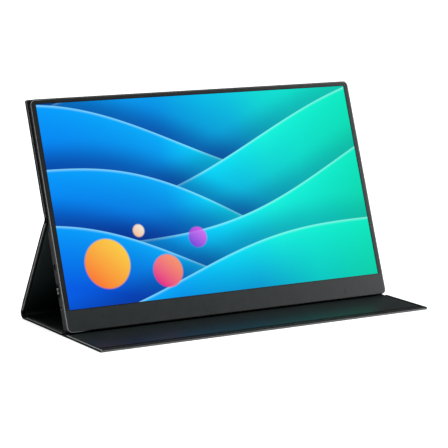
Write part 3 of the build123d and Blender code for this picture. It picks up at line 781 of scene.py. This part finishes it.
def stitch_tree():
    """Thread loops at a pitch along the input's edges."""
    tree, enter, names = new_tree("hem_stitches", (
        ("Path", "Geometry", None), ("Pitch", "Float", PITCH * MM),
        ("Stitch Length", "Float", STITCH_LENGTH * MM), ("Thread Width", "Float", THREAD_WIDTH * MM),
        ("Thread", "Material", None)))
    curve = add_node(tree, "GeometryNodeMeshToCurve", {"Mesh": enter["Path"]}).outputs[0]
    spaced = add_node(tree, "GeometryNodeResampleCurve", {
        "Curve": curve, "Length": enter["Pitch"]}, mode="LENGTH")
    loop = add_node(tree, "GeometryNodeMeshUVSphere", {
        "Segments": 6, "Rings": 5, "Radius": 0.5}).outputs["Mesh"]
    way = add_node(tree, "GeometryNodeInputTangent").outputs[0]
    turn = add_node(tree, "FunctionNodeAlignRotationToVector", {"Vector": way}, axis="X").outputs[0]
    size = join_xyz(tree, enter["Stitch Length"], enter["Thread Width"], enter["Thread Width"])
    end_tree(tree, spaced.outputs[0], loop, enter["Thread"], Rotation=turn, Scale=size)
    return tree, {names["Thread"]: thread}


hem_stitches, seam_values = stitch_tree()
print("stitch nodes:", len(hem_stitches.nodes))

# %% [markdown]
# ## Where the seam runs
# The path follows each panel's edge a little inside it, once on the outside, where the bead lifts
# it, and once on the hem. Each panel's stitches become one mesh that rides its panel, and those that
# cross a fold are fixed in place, as the fold is.

# %% Sew the seam
OUTSIDE_DEPTH, INSIDE_DEPTH = 0.22, 0.02


def seam_lines(panel):
    """The seam's path on both faces of a panel."""
    place, body, start, end, corner = PANELS[panel]
    if corner:
        edges = [tongue_outline(COVER_WIDTH, start, end, corner)]
    else:
        alongs = (start, start + BEAD_RUN, end - BEAD_RUN, end)
        edges = [[((side * COVER_WIDTH / 2, a), (-side, 0)) for a in alongs] for side in (-1, 1)]
    lines = []
    for edge in edges:
        for outside in (0, 1):
            line = []
            for (x, a), (dx, da) in edge:
                flat = a == start or (a == end and not corner)
                raised = OUTSIDE_DEPTH - (0 if flat else bead(panel, SEAM_INSET))
                depth = raised if outside else COVER_THICK - INSIDE_DEPTH
                line.append(place(x + dx * SEAM_INSET, a + da * SEAM_INSET, depth))
            lines.append(line)
    return lines


def fold_lines(stations):
    """The seam's path across a fold, on both faces."""
    lines = []
    for side in (-1, 1):
        for inner in (0, 1):
            across = side * (COVER_WIDTH / 2 - SEAM_INSET)
            depths = [thick - INSIDE_DEPTH if inner else OUTSIDE_DEPTH for _, _, thick in stations]
            line = [Vector((across, *(point + depth * inward))) * MM
                    for (point, inward, _), depth in zip(stations, depths)]
            lines.append(line[1:-1])
    return lines


for panel in PANELS:
    seam = grown_piece(f"{panel}_seam", seam_lines(panel), hem_stitches, seam_values)
    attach(seam, PANELS[panel][1])
    print(seam.name, "faces:", len(seam.data.polygons))
for name, (stations, node, bodies, start, end) in FOLDS.items():
    seam = grown_piece(f"{name}_seam", fold_lines(stations), hem_stitches, seam_values)
    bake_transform(seam)
    print(seam.name, "faces:", len(seam.data.polygons))

# %% [markdown]
# ## The picture on the screen
# The screen shows a bright abstract picture. It is drawn as layered waves: each layer is cut from
# the one below by a curve, is brightest along its crest and fades to a deeper colour below. A node
# group works like a function, so one group draws a layer and the picture stacks several of them.

# %% Draw a wave
WAVE_NUMBERS = ("Height", "Slope", "Swing", "Pace", "Phase", "Reach", "Shadow")
GLEAM, SHADE = (0.45, 0.98, 1.0), (0.0, 0.02, 0.22)
GLEAM_DEPTH, SHADE_HEIGHT, CREST_SOFT, SOFT = 0.018, 0.16, 0.004, "SMOOTHSTEP"


def colour_group(name, colours, numbers):
    """A node group with colour and number inputs and one colour out, and its inputs."""
    group = bpy.data.node_groups.new(name, "ShaderNodeTree")
    for kind, labels in (("NodeSocketColor", colours), ("NodeSocketFloat", ("Across", "Up", *numbers))):
        for label in labels:
            group.interface.new_socket(label, in_out="INPUT", socket_type=kind)
    group.interface.new_socket("Colour", in_out="OUTPUT", socket_type="NodeSocketColor")
    return group, add_node(group, "NodeGroupInput").outputs


def wave_layer_group():
    """Lay one wave over the colour below it, with a gleam on its crest and a shadow above it."""
    group, enter = colour_group("wave_layer", ("Below", "Crest", "Deep"), WAVE_NUMBERS)
    across = enter["Across"]
    wave = calc(group, "SINE", calc(group, "MULTIPLY_ADD", across, enter["Pace"], enter["Phase"]))
    crest = calc(group, "MULTIPLY_ADD", across, enter["Slope"], enter["Height"])
    crest = calc(group, "MULTIPLY_ADD", wave, enter["Swing"], crest)
    depth = calc(group, "SUBTRACT", crest, enter["Up"])
    fade = calc(group, "POWER", ramp(group, depth, 0.0, enter["Reach"]), 0.7)
    body = mix(group, fade, enter["Crest"], enter["Deep"])
    body = mix(group, ramp(group, depth, 0.0, GLEAM_DEPTH, 0.5, 0.0, SOFT), body, GLEAM)
    above = calc(group, "MULTIPLY", depth, -1.0)
    shade = calc(group, "MULTIPLY", ramp(group, above, 0.0, SHADE_HEIGHT, 1.0, 0.0, SOFT), enter["Shadow"])
    shade = calc(group, "MULTIPLY", shade, calc(group, "MULTIPLY_ADD", across, -0.65, 1.0))
    below = mix(group, shade, enter["Below"], SHADE)
    over = mix(group, ramp(group, depth, 0.0, CREST_SOFT, how=SOFT), below, body)
    add_node(group, "NodeGroupOutput", {"Colour": over})
    return group


wave_layer = wave_layer_group()
print("wave inputs:", ", ".join(WAVE_NUMBERS))

# %% [markdown]
# ## The glowing discs
# Over the waves lie a few soft discs. Their colour runs across them at a slant, and their edge is
# soft over a few thousandths of the picture's height. They could be flat meshes before the glass,
# but as part of the picture they stay exactly in its plane.

# %% Draw a disc
DISC_NUMBERS = ("Middle Across", "Middle Up", "Radius", "Cover")
DISC_SOFT, SLANT = 0.008, 2.6


def glow_disc_group():
    """Lay one soft-edged glowing disc over the colour below it."""
    group, enter = colour_group("glow_disc", ("Below", "Top Colour", "Foot Colour"), DISC_NUMBERS)
    aside = calc(group, "MULTIPLY", calc(group, "SUBTRACT", enter["Across"], enter["Middle Across"]),
                 PICTURE_WIDTH / PICTURE_HEIGHT)
    above = calc(group, "SUBTRACT", enter["Up"], enter["Middle Up"])
    away = calc(group, "SQRT", calc(group, "ADD", calc(group, "MULTIPLY", aside, aside),
                                    calc(group, "MULTIPLY", above, above)))
    inside = ramp(group, calc(group, "SUBTRACT", enter["Radius"], away), 0.0, DISC_SOFT)
    slant = calc(group, "DIVIDE", calc(group, "ADD", above, aside),
                 calc(group, "MULTIPLY", enter["Radius"], SLANT))
    paint = mix(group, calc(group, "ADD", slant, 0.5), enter["Foot Colour"], enter["Top Colour"])
    over = mix(group, calc(group, "MULTIPLY", inside, enter["Cover"]), enter["Below"], paint)
    add_node(group, "NodeGroupOutput", {"Colour": over})
    return group


glow_disc = glow_disc_group()
print("disc inputs:", ", ".join(DISC_NUMBERS))

# %% [markdown]
# ## Stacking the picture
# Crests and hollows change colour from left to right, so three colour ramps feed the layers. The
# coordinates are Object coordinates turned to lie along the leaning face. The picture gives its own
# light, at a strength of 1, so its colours come out about as they are written.

# %% Light the screen
CREST = ((0.0, (0.0, 0.36, 1.0)), (0.35, (0.0, 0.45, 1.0)), (0.52, (0.0, 0.76, 0.98)),
         (0.70, (0.005, 0.95, 0.74)), (1.0, (0.0, 0.86, 0.56)))
DEEP = ((0.0, (0.0, 0.11, 0.78)), (0.38, (0.0, 0.04, 0.48)), (0.60, (0.0, 0.20, 0.60)),
        (0.80, (0.0, 0.56, 0.54)), (1.0, (0.0, 0.62, 0.38)))
GROUND = ((0.0, (0.0, 0.28, 0.95)), (0.4, (0.0, 0.45, 0.98)), (1.0, (0.0, 0.50, 0.42)))
WAVES = [
    (0.92, 0.30, 0.10, 3.0, 0.5, 0.60, 0.5),
    (0.86, -0.22, 0.14, 4.2, 1.4, 0.55, 0.7),
    (0.48, 0.42, 0.10, 4.0, 3.6, 0.45, 0.7),
    (0.66, -0.50, 0.10, 5.0, 0.2, 0.40, 0.7),
    (0.20, 0.45, 0.09, 4.4, 2.2, 0.40, 0.7),
    (0.34, -0.42, 0.08, 5.4, 1.0, 0.30, 0.7),
    (-0.02, 0.32, 0.06, 5.0, 4.4, 0.30, 0.6),
]
DISCS = [
    ((1.0, 0.62, 0.02), (1.0, 0.20, 0.0), 0.135, 0.20, 0.125, 0.95),
    ((1.0, 0.30, 0.10), (0.85, 0.02, 0.22), 0.315, 0.135, 0.085, 0.92),
    ((0.75, 0.10, 0.85), (0.20, 0.02, 0.70), 0.425, 0.285, 0.055, 0.85),
    ((1.0, 0.92, 0.75), (1.0, 0.55, 0.30), 0.245, 0.345, 0.035, 0.9),
]


def colour_along(tree, value, stops):
    """A colour that changes along a value, by (place, colour) stops."""
    changing = add_node(tree, "ShaderNodeValToRGB", {"Fac": value})
    elements = changing.color_ramp.elements
    elements[0].position, elements[1].position = stops[0][0], stops[-1][0]
    for place, colour in stops[1:-1]:
        elements.new(place)
    for element, (place, colour) in zip(elements, stops):
        element.color = (*colour, 1)
    return changing.outputs[0]


def screen_finish():
    """The lit picture on a matt black panel."""
    finish, tree, shader = new_finish("lit_screen", (0.001, 0.001, 0.0015), 0.5, Specular_IOR_Level=0.01)
    middle = Matrix.Rotation(TILT, 3, "X") @ on_monitor(0, CHIN + PICTURE_HEIGHT / 2, 0)
    x, _, z = split_xyz(tree, object_places(tree, turn=(TILT, 0, 0)))
    places = {"Across": ramp(tree, x, -PICTURE_WIDTH * MM / 2, PICTURE_WIDTH * MM / 2),
              "Up": ramp(tree, z, middle.z - PICTURE_HEIGHT * MM / 2, middle.z + PICTURE_HEIGHT * MM / 2)}
    crest, deep, below = (colour_along(tree, places["Across"], stops) for stops in (CREST, DEEP, GROUND))
    for numbers in WAVES:
        colours = {"Below": below, "Crest": crest, "Deep": deep}
        below = add_node(tree, "ShaderNodeGroup", {**places, **colours, **dict(zip(WAVE_NUMBERS, numbers))},
                         node_tree=wave_layer).outputs[0]
    for top, foot, *numbers in DISCS:
        colours = {"Below": below, "Top Colour": (*top, 1), "Foot Colour": (*foot, 1)}
        below = add_node(tree, "ShaderNodeGroup", {**places, **colours, **dict(zip(DISC_NUMBERS, numbers))},
                         node_tree=glow_disc).outputs[0]
    tree.links.new(below, shader.inputs["Emission Color"])
    shader.inputs["Emission Strength"].default_value = 1.0
    return finish


nodes["lcd_panel"].data.materials[0] = screen_finish()
print("picture layers:", len(WAVES), "discs:", len(DISCS))

# %% [markdown]
# ## Measuring a place on the monitor
# Lines and rims on the bezel follow its edges, so the finish has to know how far inside the edge a
# place is. Painting them would need an image; here a few sums on the Object coordinates give the
# distance inside a round-cornered rectangle, and a band between two distances becomes a line.

# %% Distances on the monitor
def monitor_places(tree):
    """Across, up and back on the monitor, from the middle of its face, in metres."""
    middle = Matrix.Rotation(TILT, 3, "X") @ on_monitor(0, BODY_HEIGHT / 2, 0)
    x, y, z = split_xyz(tree, object_places(tree, turn=(TILT, 0, 0), shift=-middle))
    return x, z, y


def inward_distance(tree, across, up, width, height, corner):
    """How far inside a round-cornered rectangle a place is, in millimetres."""
    past = [calc(tree, "SUBTRACT", calc(tree, "ABSOLUTE", value), (size / 2 - corner) * MM)
            for value, size in ((across, width), (up, height))]
    outside = join_xyz(tree, *(calc(tree, "MAXIMUM", value, 0.0) for value in past))
    length = add_node(tree, "ShaderNodeVectorMath", {0: outside}, operation="LENGTH").outputs["Value"]
    within = calc(tree, "MINIMUM", calc(tree, "MAXIMUM", *past), 0.0)
    inward = calc(tree, "SUBTRACT", corner * MM, calc(tree, "ADD", length, within))
    return calc(tree, "DIVIDE", inward, MM)


def between(tree, value, low, high, soft=0.05):
    """1 where a value lies between two limits, 0 elsewhere."""
    return calc(tree, "MULTIPLY", ramp(tree, value, low - soft, low + soft),
                ramp(tree, value, high - soft, high + soft, 1.0, 0.0))


print("half the face:", BODY_WIDTH / 2, "x", BODY_HEIGHT / 2)

# %% [markdown]
# ## The bezel
# The frame round the screen is matt black plastic. Its outer rim is chamfered, and a painted
# highlight lies on it as a thin line, weaker toward the top and the right. A painted shadow lies round
# the picture, where the glass ends, and another under the chin. The chin itself is painted a shade
# paler, as a painted reflection of the large lamp.

# %% Finish the bezel
# Where the painted highlight on the rim and the painted shadow round the picture lie, and the colours of
# the rim's highlight and the chin's painted reflection.
RIM_SHIFT, RIM_BAND, WINDOW_SHADOW_BAND = 0.4, (0.06, 0.42), (-0.65, 0.2)
RIM_HIGHLIGHT, CHIN_PAINTED_SHEEN = (0.44, 0.46, 0.46), (0.022, 0.0252, 0.0258)


def bezel_finish():
    """Matt black plastic with a painted highlight on the rim, painted shadow round the picture and under
    the chin, and a chin painted paler as a reflection of the lamp.
    """
    finish, tree, shader = new_finish(
        "bezel_plastic", (0.013, 0.0135, 0.0135), 0.30, Specular_IOR_Level=0.09)
    places = object_places(tree)
    across, up, _ = monitor_places(tree)
    left, bottom = -BODY_WIDTH / 2 * MM, -BODY_HEIGHT / 2 * MM
    shifted = [calc(tree, "ADD", value, RIM_SHIFT * MM) for value in (across, up)]
    rim_box = (BODY_WIDTH - 2 * RIM_SHIFT, BODY_HEIGHT - 2 * RIM_SHIFT, BODY_CORNER)
    # Painted highlight on the chamfered rim, weaker toward the top and the right.
    rim_highlight = between(tree, inward_distance(tree, *shifted, *rim_box), *RIM_BAND)
    rim_highlight = calc(tree, "MULTIPLY", rim_highlight, ramp(tree, across, left + 4 * MM, left + 24 * MM, 1.0, 0.3))
    rim_highlight = calc(tree, "MULTIPLY", rim_highlight, ramp(tree, up, -20 * MM, 90 * MM, 1.0, 0.62))
    # Painted shadow along the bottom of the chin, except near the left corner.
    foot = calc(tree, "MULTIPLY", ramp(tree, up, bottom + 1.1 * MM, bottom + 0.8 * MM),
                ramp(tree, across, left + 12 * MM, left + 22 * MM))
    picture_up = calc(tree, "ADD", up, (BODY_HEIGHT / 2 - CHIN - PICTURE_HEIGHT / 2) * MM)
    from_picture = inward_distance(tree, across, picture_up, PICTURE_WIDTH, PICTURE_HEIGHT, 0.0)
    chin_top = bottom + CHIN * MM
    body = cloudy(tree, places, 40, (0.0105, 0.0115, 0.0115), (0.0125, 0.0135, 0.0135))
    # The chin painted paler, as a painted reflection of the large lamp.
    body = mix(tree, ramp(tree, up, chin_top + 2 * MM, chin_top - 2 * MM), body, CHIN_PAINTED_SHEEN)
    # Painted shadow round the picture, where the glass ends.
    body = mix(tree, between(tree, from_picture, *WINDOW_SHADOW_BAND), body, (0.003, 0.003, 0.003))
    body = mix(tree, foot, mix(tree, rim_highlight, body, RIM_HIGHLIGHT), PAINTED_SHADE)
    coat(tree, shader, body, uneven(tree, places, 9, 0.27, 0.33), (noise(tree, places, 0.35, 2), 0.012))
    return finish


bezel = bezel_finish()
print("bezel nodes:", len(bezel.node_tree.nodes))

# %% [markdown]
# ## The housing
# The back is the same plastic, painted paler from just inside the edge, and the sides are kept
# black as painted shade: seen from the front the sides stay black, and from behind the back shows its form.

# %% Finish the housing
def housing_finish():
    """Black moulded plastic, kept darker at the sides as painted shade and paler over the back from just
    inside its edge.
    """
    finish, tree, shader = new_finish(
        "housing_plastic", (0.010, 0.0105, 0.0105), 0.42, Specular_IOR_Level=0.04)
    places = object_places(tree)
    across, up, _ = monitor_places(tree)
    inward = inward_distance(tree, across, up, BODY_WIDTH, BODY_HEIGHT, BODY_CORNER)
    body = cloudy(tree, places, 40, (0.007, 0.0075, 0.0075), (0.011, 0.0115, 0.0115))
    back_paler_than_shaded_sides = cloudy(tree, places, 60, (0.026, 0.027, 0.028), (0.034, 0.035, 0.036), 2)
    # Painted shade: the sides stay darker than the back.
    body = mix(tree, between(tree, inward, 0.8, BODY_WIDTH, 0.1), body, back_paler_than_shaded_sides)
    coat(tree, shader, body, uneven(tree, places, 9, 0.37, 0.48), (noise(tree, places, 0.4, 2), 0.03))
    return finish


housing = housing_finish()
print("housing nodes:", len(housing.node_tree.nodes))

# %% [markdown]
# ## The thumb wheel
# The control on the left wall is drawn metal with fine ridges for the thumb. Its metal is dark,
# and its rims and two bands beside its dished middle are painted paler as painted highlights. A sine
# wave along the monitor's height gives the ridges as a bump: real teeth this fine would cost many
# faces and show no better.

# %% Finish the thumb wheel
RIDGE_PITCH = 0.55


def thumb_wheel_finish():
    """Drawn metal with fine ridges, dark, with painted highlights on two bands beside its dished middle and
    on its two rims.
    """
    finish, tree, shader = new_finish("thumb_wheel_metal", (0.3, 0.3, 0.3), 0.34, Metallic=1.0)
    places = object_places(tree)
    _, up, back = monitor_places(tree)
    off_middle = calc(tree, "ABSOLUTE", calc(tree, "SUBTRACT", back, JOG_BACK * MM))
    # Painted highlights on the rims and beside the dished middle.
    rim_highlights = calc(tree, "MULTIPLY", ramp(tree, off_middle, 1.05 * MM, 1.25 * MM), 0.25)
    off_centre = calc(tree, "ABSOLUTE", calc(tree, "SUBTRACT", up, (JOG_UP - BODY_HEIGHT / 2) * MM))
    highlight_bands = calc(tree, "MAXIMUM", between(tree, off_centre, 1.5 * MM, 2.7 * MM, 0.3 * MM), rim_highlights)
    ridges = calc(tree, "SINE", calc(tree, "MULTIPLY", up, 2 * math.pi / (RIDGE_PITCH * MM)))
    coat(tree, shader, mix(tree, highlight_bands, (0.006, 0.006, 0.006), (0.14, 0.15, 0.15)),
         uneven(tree, places, 2, 0.3, 0.42), (ridges, 0.05), (noise(tree, places, 0.3, 3), 0.01))
    return finish


thumb_wheel = thumb_wheel_finish()
print("ridges:", round(4 / RIDGE_PITCH, 1), "on 4 mm")

# %% [markdown]
# ## Finishes for the other rigid pieces
# The CAD pieces keep their shape and only get a finish. Most can't be seen unless an opening shows
# them, but they have the plain finishes of such parts, so that the model is right there too. Two
# tables name them by the CAD model's slots: one of moulded pieces, one of drawn metal.

# %% Give the rigid pieces their finishes
MOULDED = {
    "cover_board": ("grey_board", (0.16, 0.15, 0.14), (0.26, 0.25, 0.23), 0.85, 0.6, 0.06),
    "film": ("white_film", (0.78, 0.79, 0.80), (0.88, 0.88, 0.88), 0.5, 0.2, 0.004),
    "light_guide": ("clear_acrylic", (0.70, 0.74, 0.74), (0.80, 0.83, 0.83), 0.15, 1.0, 0.004),
    "led_white": ("led_board_white", (0.70, 0.70, 0.66), (0.85, 0.85, 0.80), 0.45, 0.4, 0.01),
    "circuit_board": ("board_green", (0.006, 0.07, 0.03), (0.012, 0.12, 0.05), 0.4, 0.5, 0.015),
    "ribbon": ("amber_ribbon", (0.30, 0.12, 0.02), (0.42, 0.18, 0.03), 0.35, 0.5, 0.01),
    "chip": ("chip_black", (0.012, 0.012, 0.013), (0.024, 0.024, 0.025), 0.55, 0.25, 0.02),
    "speaker": ("speaker_black", (0.010, 0.010, 0.011), (0.022, 0.022, 0.023), 0.6, 0.3, 0.03),
    "port_plastic": ("port_black", (0.012, 0.013, 0.013), (0.02, 0.02, 0.021), 0.5, 0.3, 0.02),
}
DRAWN = {
    "magnet": ("nickel_plating", (0.55, 0.54, 0.52), (0.72, 0.71, 0.69), 0.3, (1, 0, 0)),
    "sheet_steel": ("zinc_steel", (0.42, 0.43, 0.44), (0.62, 0.63, 0.64), 0.38, (1, 0, 0)),
    "aluminium": ("aluminium_sheet", (0.62, 0.63, 0.64), (0.80, 0.81, 0.82), 0.32, (0, 0, 1)),
    "port_metal": ("port_steel", (0.45, 0.45, 0.46), (0.66, 0.66, 0.67), 0.26, (1, 0, 0)),
    "screw": ("black_screw_steel", (0.03, 0.03, 0.032), (0.08, 0.08, 0.083), 0.35, (1, 0, 0)),
}
FINISHES = {"bezel": bezel, "housing": housing, "jog_metal": thumb_wheel}
FINISHES |= {slot: moulded_finish(*recipe) for slot, recipe in MOULDED.items()}
FINISHES |= {slot: brushed_finish(*recipe) for slot, recipe in DRAWN.items()}
# The power button is painted near black with almost no reflection, as painted shade of its slot in the
# wall.
FINISHES["button"] = moulded_finish(
    "button_painted_shade_plastic", (0.0015, 0.0015, 0.0015), (0.003, 0.003, 0.003), 0.4, 0.3, 0.012,
    Specular_IOR_Level=0.005)
for name, node in nodes.items():
    if not node.hide_render and name != "lcd_panel":
        node.data.materials[0] = FINISHES[node.data.materials[0].name.split(".")[0]]
print("finishes given:", len(FINISHES))

# %% [markdown]
# ## The housing screws
# Four black screws hold the rear shell. The CAD screws are plain posts, and these get the cross
# recess of the real ones. The tree makes one screw from a tapered disc with two bars cut out, and
# puts it at each point given, so that all four stay the same.

# %% Turn the screws
HEAD_HEIGHT, HEAD_TAPER, RECESS_DEPTH, SHANK_OVERLAP = 0.9, 0.93, 1.1, 0.02
SCREW_ACROSS, SCREW_UPS, SCREW_FACE = 165.4, (7.5, 84.0), 9.4


def screw_tree():
    """A screw with a cross recess at each point, its head's face on the point."""
    tree, enter, names = new_tree("cross_head_screws", (
        ("Points", "Geometry", None),
        ("Head Radius", "Float", 1.9 * MM), ("Head Height", "Float", HEAD_HEIGHT * MM),
        ("Recess Length", "Float", 2.1 * MM), ("Recess Width", "Float", 0.45 * MM),
        ("Shank Radius", "Float", 0.98 * MM), ("Shank Length", "Float", 4.0 * MM),
        ("Finish", "Material", None)))
    top = calc(tree, "MULTIPLY", enter["Head Radius"], HEAD_TAPER)
    head = add_node(tree, "GeometryNodeMeshCone", {
        "Vertices": 32, "Radius Top": top, "Radius Bottom": enter["Head Radius"],
        "Depth": enter["Head Height"]})
    head = moved(tree, head.outputs[0], (0, 0, -HEAD_HEIGHT * MM))
    cut = add_node(tree, "GeometryNodeMeshBoolean", {"Mesh 1": head}, operation="DIFFERENCE")
    long, wide = enter["Recess Length"], enter["Recess Width"]
    for sides in ((long, wide), (wide, long)):
        size = join_xyz(tree, *sides, RECESS_DEPTH * MM)
        bar = add_node(tree, "GeometryNodeMeshCube", {"Size": size}).outputs[0]
        tree.links.new(bar, cut.inputs["Mesh 2"])
    shank = add_node(tree, "GeometryNodeMeshCylinder", {
        "Vertices": 20, "Radius": enter["Shank Radius"], "Depth": enter["Shank Length"]}).outputs[0]
    shank = moved(tree, shank, join_xyz(tree, z=calc(tree, "MULTIPLY", enter["Shank Length"], -0.5)))
    shank = moved(tree, shank, (0, 0, (SHANK_OVERLAP - HEAD_HEIGHT) * MM))
    screw = add_node(tree, "GeometryNodeJoinGeometry")
    for mesh in (cut.outputs[0], shank):
        tree.links.new(mesh, screw.inputs[0])
    turn = (-(math.pi / 2 + TILT), 0, 0)
    end_tree(tree, enter["Points"], screw.outputs[0], enter["Finish"], Rotation=turn)
    return tree, {names["Finish"]: FINISHES["screw"]}


screw_points = [[on_monitor(side * SCREW_ACROSS, up, SCREW_FACE)] for side in (-1, 1) for up in SCREW_UPS]
screw_piece = grown_piece("cross_head_screws", screw_points, *screw_tree())
screw_piece.data.shade_flat()
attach(screw_piece, "monitor")
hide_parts("housing_screws")
print("screws:", len(screw_points), "faces:", len(screw_piece.data.polygons))

# %% [markdown]
# ## The sleeves inside the ports
# In each port a metal tongue is covered by a black sleeve with a row of gilt contacts. They are
# small, but they are what makes a port look real when the camera comes round to the right side. A
# sleeve is a bevelled block, so a cube and one bevel are enough.

# %% Fit the port sleeves
PORTS = [
    ("lower_port", 30.0, 6.0, 6.54, 12, 0.5), ("upper_port", 46.0, 6.0, 6.54, 12, 0.5),
    ("picture_port", 66.0, 6.07, 8.8, 10, 0.8),
]
SLEEVE_NEAR, SLEEVE_FAR, SLEEVE_HALF, SLEEVE_OVER, SLEEVE_CORNER = 171.2, 175.3, 0.41, 0.05, 0.12


def block(mesh_data, low, high, corner):
    """A bevelled block between two (across, up, back) corners on the monitor."""
    middle = [(a + b) / 2 for a, b in zip(low, high)]
    made = bmesh.ops.create_cube(mesh_data, size=1.0)["verts"]
    for vert in made:
        spot = [m + v * (b - a) for m, v, a, b in zip(middle, (vert.co.x, vert.co.z, vert.co.y), low, high)]
        vert.co = on_monitor(*spot)
    edges = list({edge for vert in made for edge in vert.link_edges})
    bmesh.ops.bevel(mesh_data, geom=edges, offset=corner * MM, segments=2, affect="EDGES", profile=0.5)


sleeves = bmesh.new()
for name, up, depth, width, count, pitch in PORTS:
    half = width / 2 + SLEEVE_OVER
    low = (SLEEVE_NEAR, up - half, depth - SLEEVE_HALF)
    high = (SLEEVE_FAR, up + half, depth + SLEEVE_HALF)
    block(sleeves, low, high, SLEEVE_CORNER)
sleeve_piece = make_piece("port_tongue_sleeves", sleeves, [FINISHES["port_plastic"]])
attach(sleeve_piece, "monitor")
print("sleeves:", ", ".join(port[0] for port in PORTS))

# %% [markdown]
# ## The contacts
# On both faces of a sleeve lie flat gilt bars, 10 or 12 in a row. All are one short bar, repeated by
# Geometry Nodes at the points given and turned with the monitor.

# %% Fit the port contacts
CONTACT_ACROSS, CONTACT_DEPTH, BAR_SIZE = 173.4, 0.42, (3.0 * MM, 0.05 * MM, 0.27 * MM)


def contact_tree():
    """A flat bar at each point, turned with the monitor."""
    tree, enter, names = new_tree("port_contacts", (
        ("Points", "Geometry", None), ("Bar Size", "Vector", None), ("Finish", "Material", None)))
    bar = add_node(tree, "GeometryNodeMeshCube", {"Size": enter["Bar Size"]}).outputs[0]
    end_tree(tree, enter["Points"], bar, enter["Finish"], Rotation=(-TILT, 0, 0))
    gilt = brushed_finish("gilt_contacts", (0.62, 0.40, 0.12), (0.85, 0.60, 0.22), 0.25, (1, 0, 0))
    return tree, {names["Bar Size"]: BAR_SIZE, names["Finish"]: gilt}


contact_points = []
for name, up, depth, width, count, pitch in PORTS:
    rows = [up + (n - (count - 1) / 2) * pitch for n in range(count)]
    for side in (-1, 1):
        contact_points += [[on_monitor(CONTACT_ACROSS, row, depth + side * CONTACT_DEPTH)] for row in rows]
contact_piece = grown_piece("port_contact_bars", contact_points, *contact_tree())
contact_piece.data.shade_flat()
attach(contact_piece, "monitor")
print("contacts:", len(contact_points))

# %% [markdown]
# ## The paper
# Product shots like this one stand on white paper. The floor is white to the camera, to reflections
# and through glass, which Light Path tells apart, and still takes the faint shadow under the cover.
# A bright lamp on a white floor would do the same, but would light the object too.

# %% Lay the paper
PAPER_GLOW, PAPER_SIZE = 0.46, 25


def paper_finish():
    """Matt white paper that glows a little in what the camera sees of it."""
    paper = bpy.data.materials.new("white_paper")
    paper.use_nodes = True
    tree = paper.node_tree
    tree.nodes.clear()
    path = add_node(tree, "ShaderNodeLightPath").outputs
    seen = calc(tree, "MAXIMUM", path["Is Camera Ray"], path["Is Glossy Ray"])
    seen = calc(tree, "MAXIMUM", seen, path["Is Transmission Ray"])
    colour = cloudy(tree, object_places(tree), 3, (0.80, 0.80, 0.80), (0.84, 0.84, 0.84))
    matt = add_node(tree, "ShaderNodeBsdfDiffuse", {"Color": colour})
    glow = add_node(tree, "ShaderNodeEmission", {
        "Color": (1, 1, 1, 1), "Strength": calc(tree, "MULTIPLY", seen, PAPER_GLOW)})
    both = add_node(tree, "ShaderNodeAddShader", {0: matt.outputs[0], 1: glow.outputs[0]})
    add_node(tree, "ShaderNodeOutputMaterial", {0: both.outputs[0]})
    return paper


floor_data = bmesh.new()
bmesh.ops.create_grid(floor_data, x_segments=16, y_segments=16, size=PAPER_SIZE)
floor = make_piece("paper_floor", floor_data, [paper_finish()])
print("paper:", 2 * PAPER_SIZE, "m wide")

# %% [markdown]
# ## The lamps
# One large lamp stands front right, mirrored in the chin. One behind on the left draws the thin
# light rims along the edges. The world adds an even light from above and almost none from the
# horizon, which keeps the black cover deep.

# %% Set up the lamps and the world
LAMPS = {
    "front_right_softbox": ((1.75, -1.15, 0.75), (0.9, 0.9), 48),
    "left_rear_softbox": ((-0.75, 1.45, 0.85), (0.8, 0.4), 9),
}
LAMP_AIM = Vector((0, 0, 0.1))
SKY = (0.32, 0.8, 0.03, 1.3)
for name, (place, size, power) in LAMPS.items():
    data = bpy.data.lights.new(name, "AREA")
    data.shape, data.size, data.size_y, data.energy = "RECTANGLE", *size, power
    light = bpy.data.objects.new(name, data)
    scene.collection.objects.link(light)
    turn = (LAMP_AIM - Vector(place)).to_track_quat("-Z", "Y").to_matrix().to_4x4()
    light.matrix_world = Matrix.Translation(place) @ turn
world = bpy.data.worlds.new("studio_world")
scene.world = world
world.use_nodes = True
sky = world.node_tree
sky.nodes.clear()
_, _, height = split_xyz(sky, add_node(sky, "ShaderNodeTexCoord").outputs["Generated"])
sky_light = add_node(sky, "ShaderNodeBackground", {
    "Color": (1, 1, 1, 1), "Strength": ramp(sky, height, *SKY, SOFT)})
add_node(sky, "ShaderNodeOutputWorld", {0: sky_light.outputs[0]})
scene.view_settings.view_transform = "Standard"
print("lamps:", ", ".join(LAMPS))
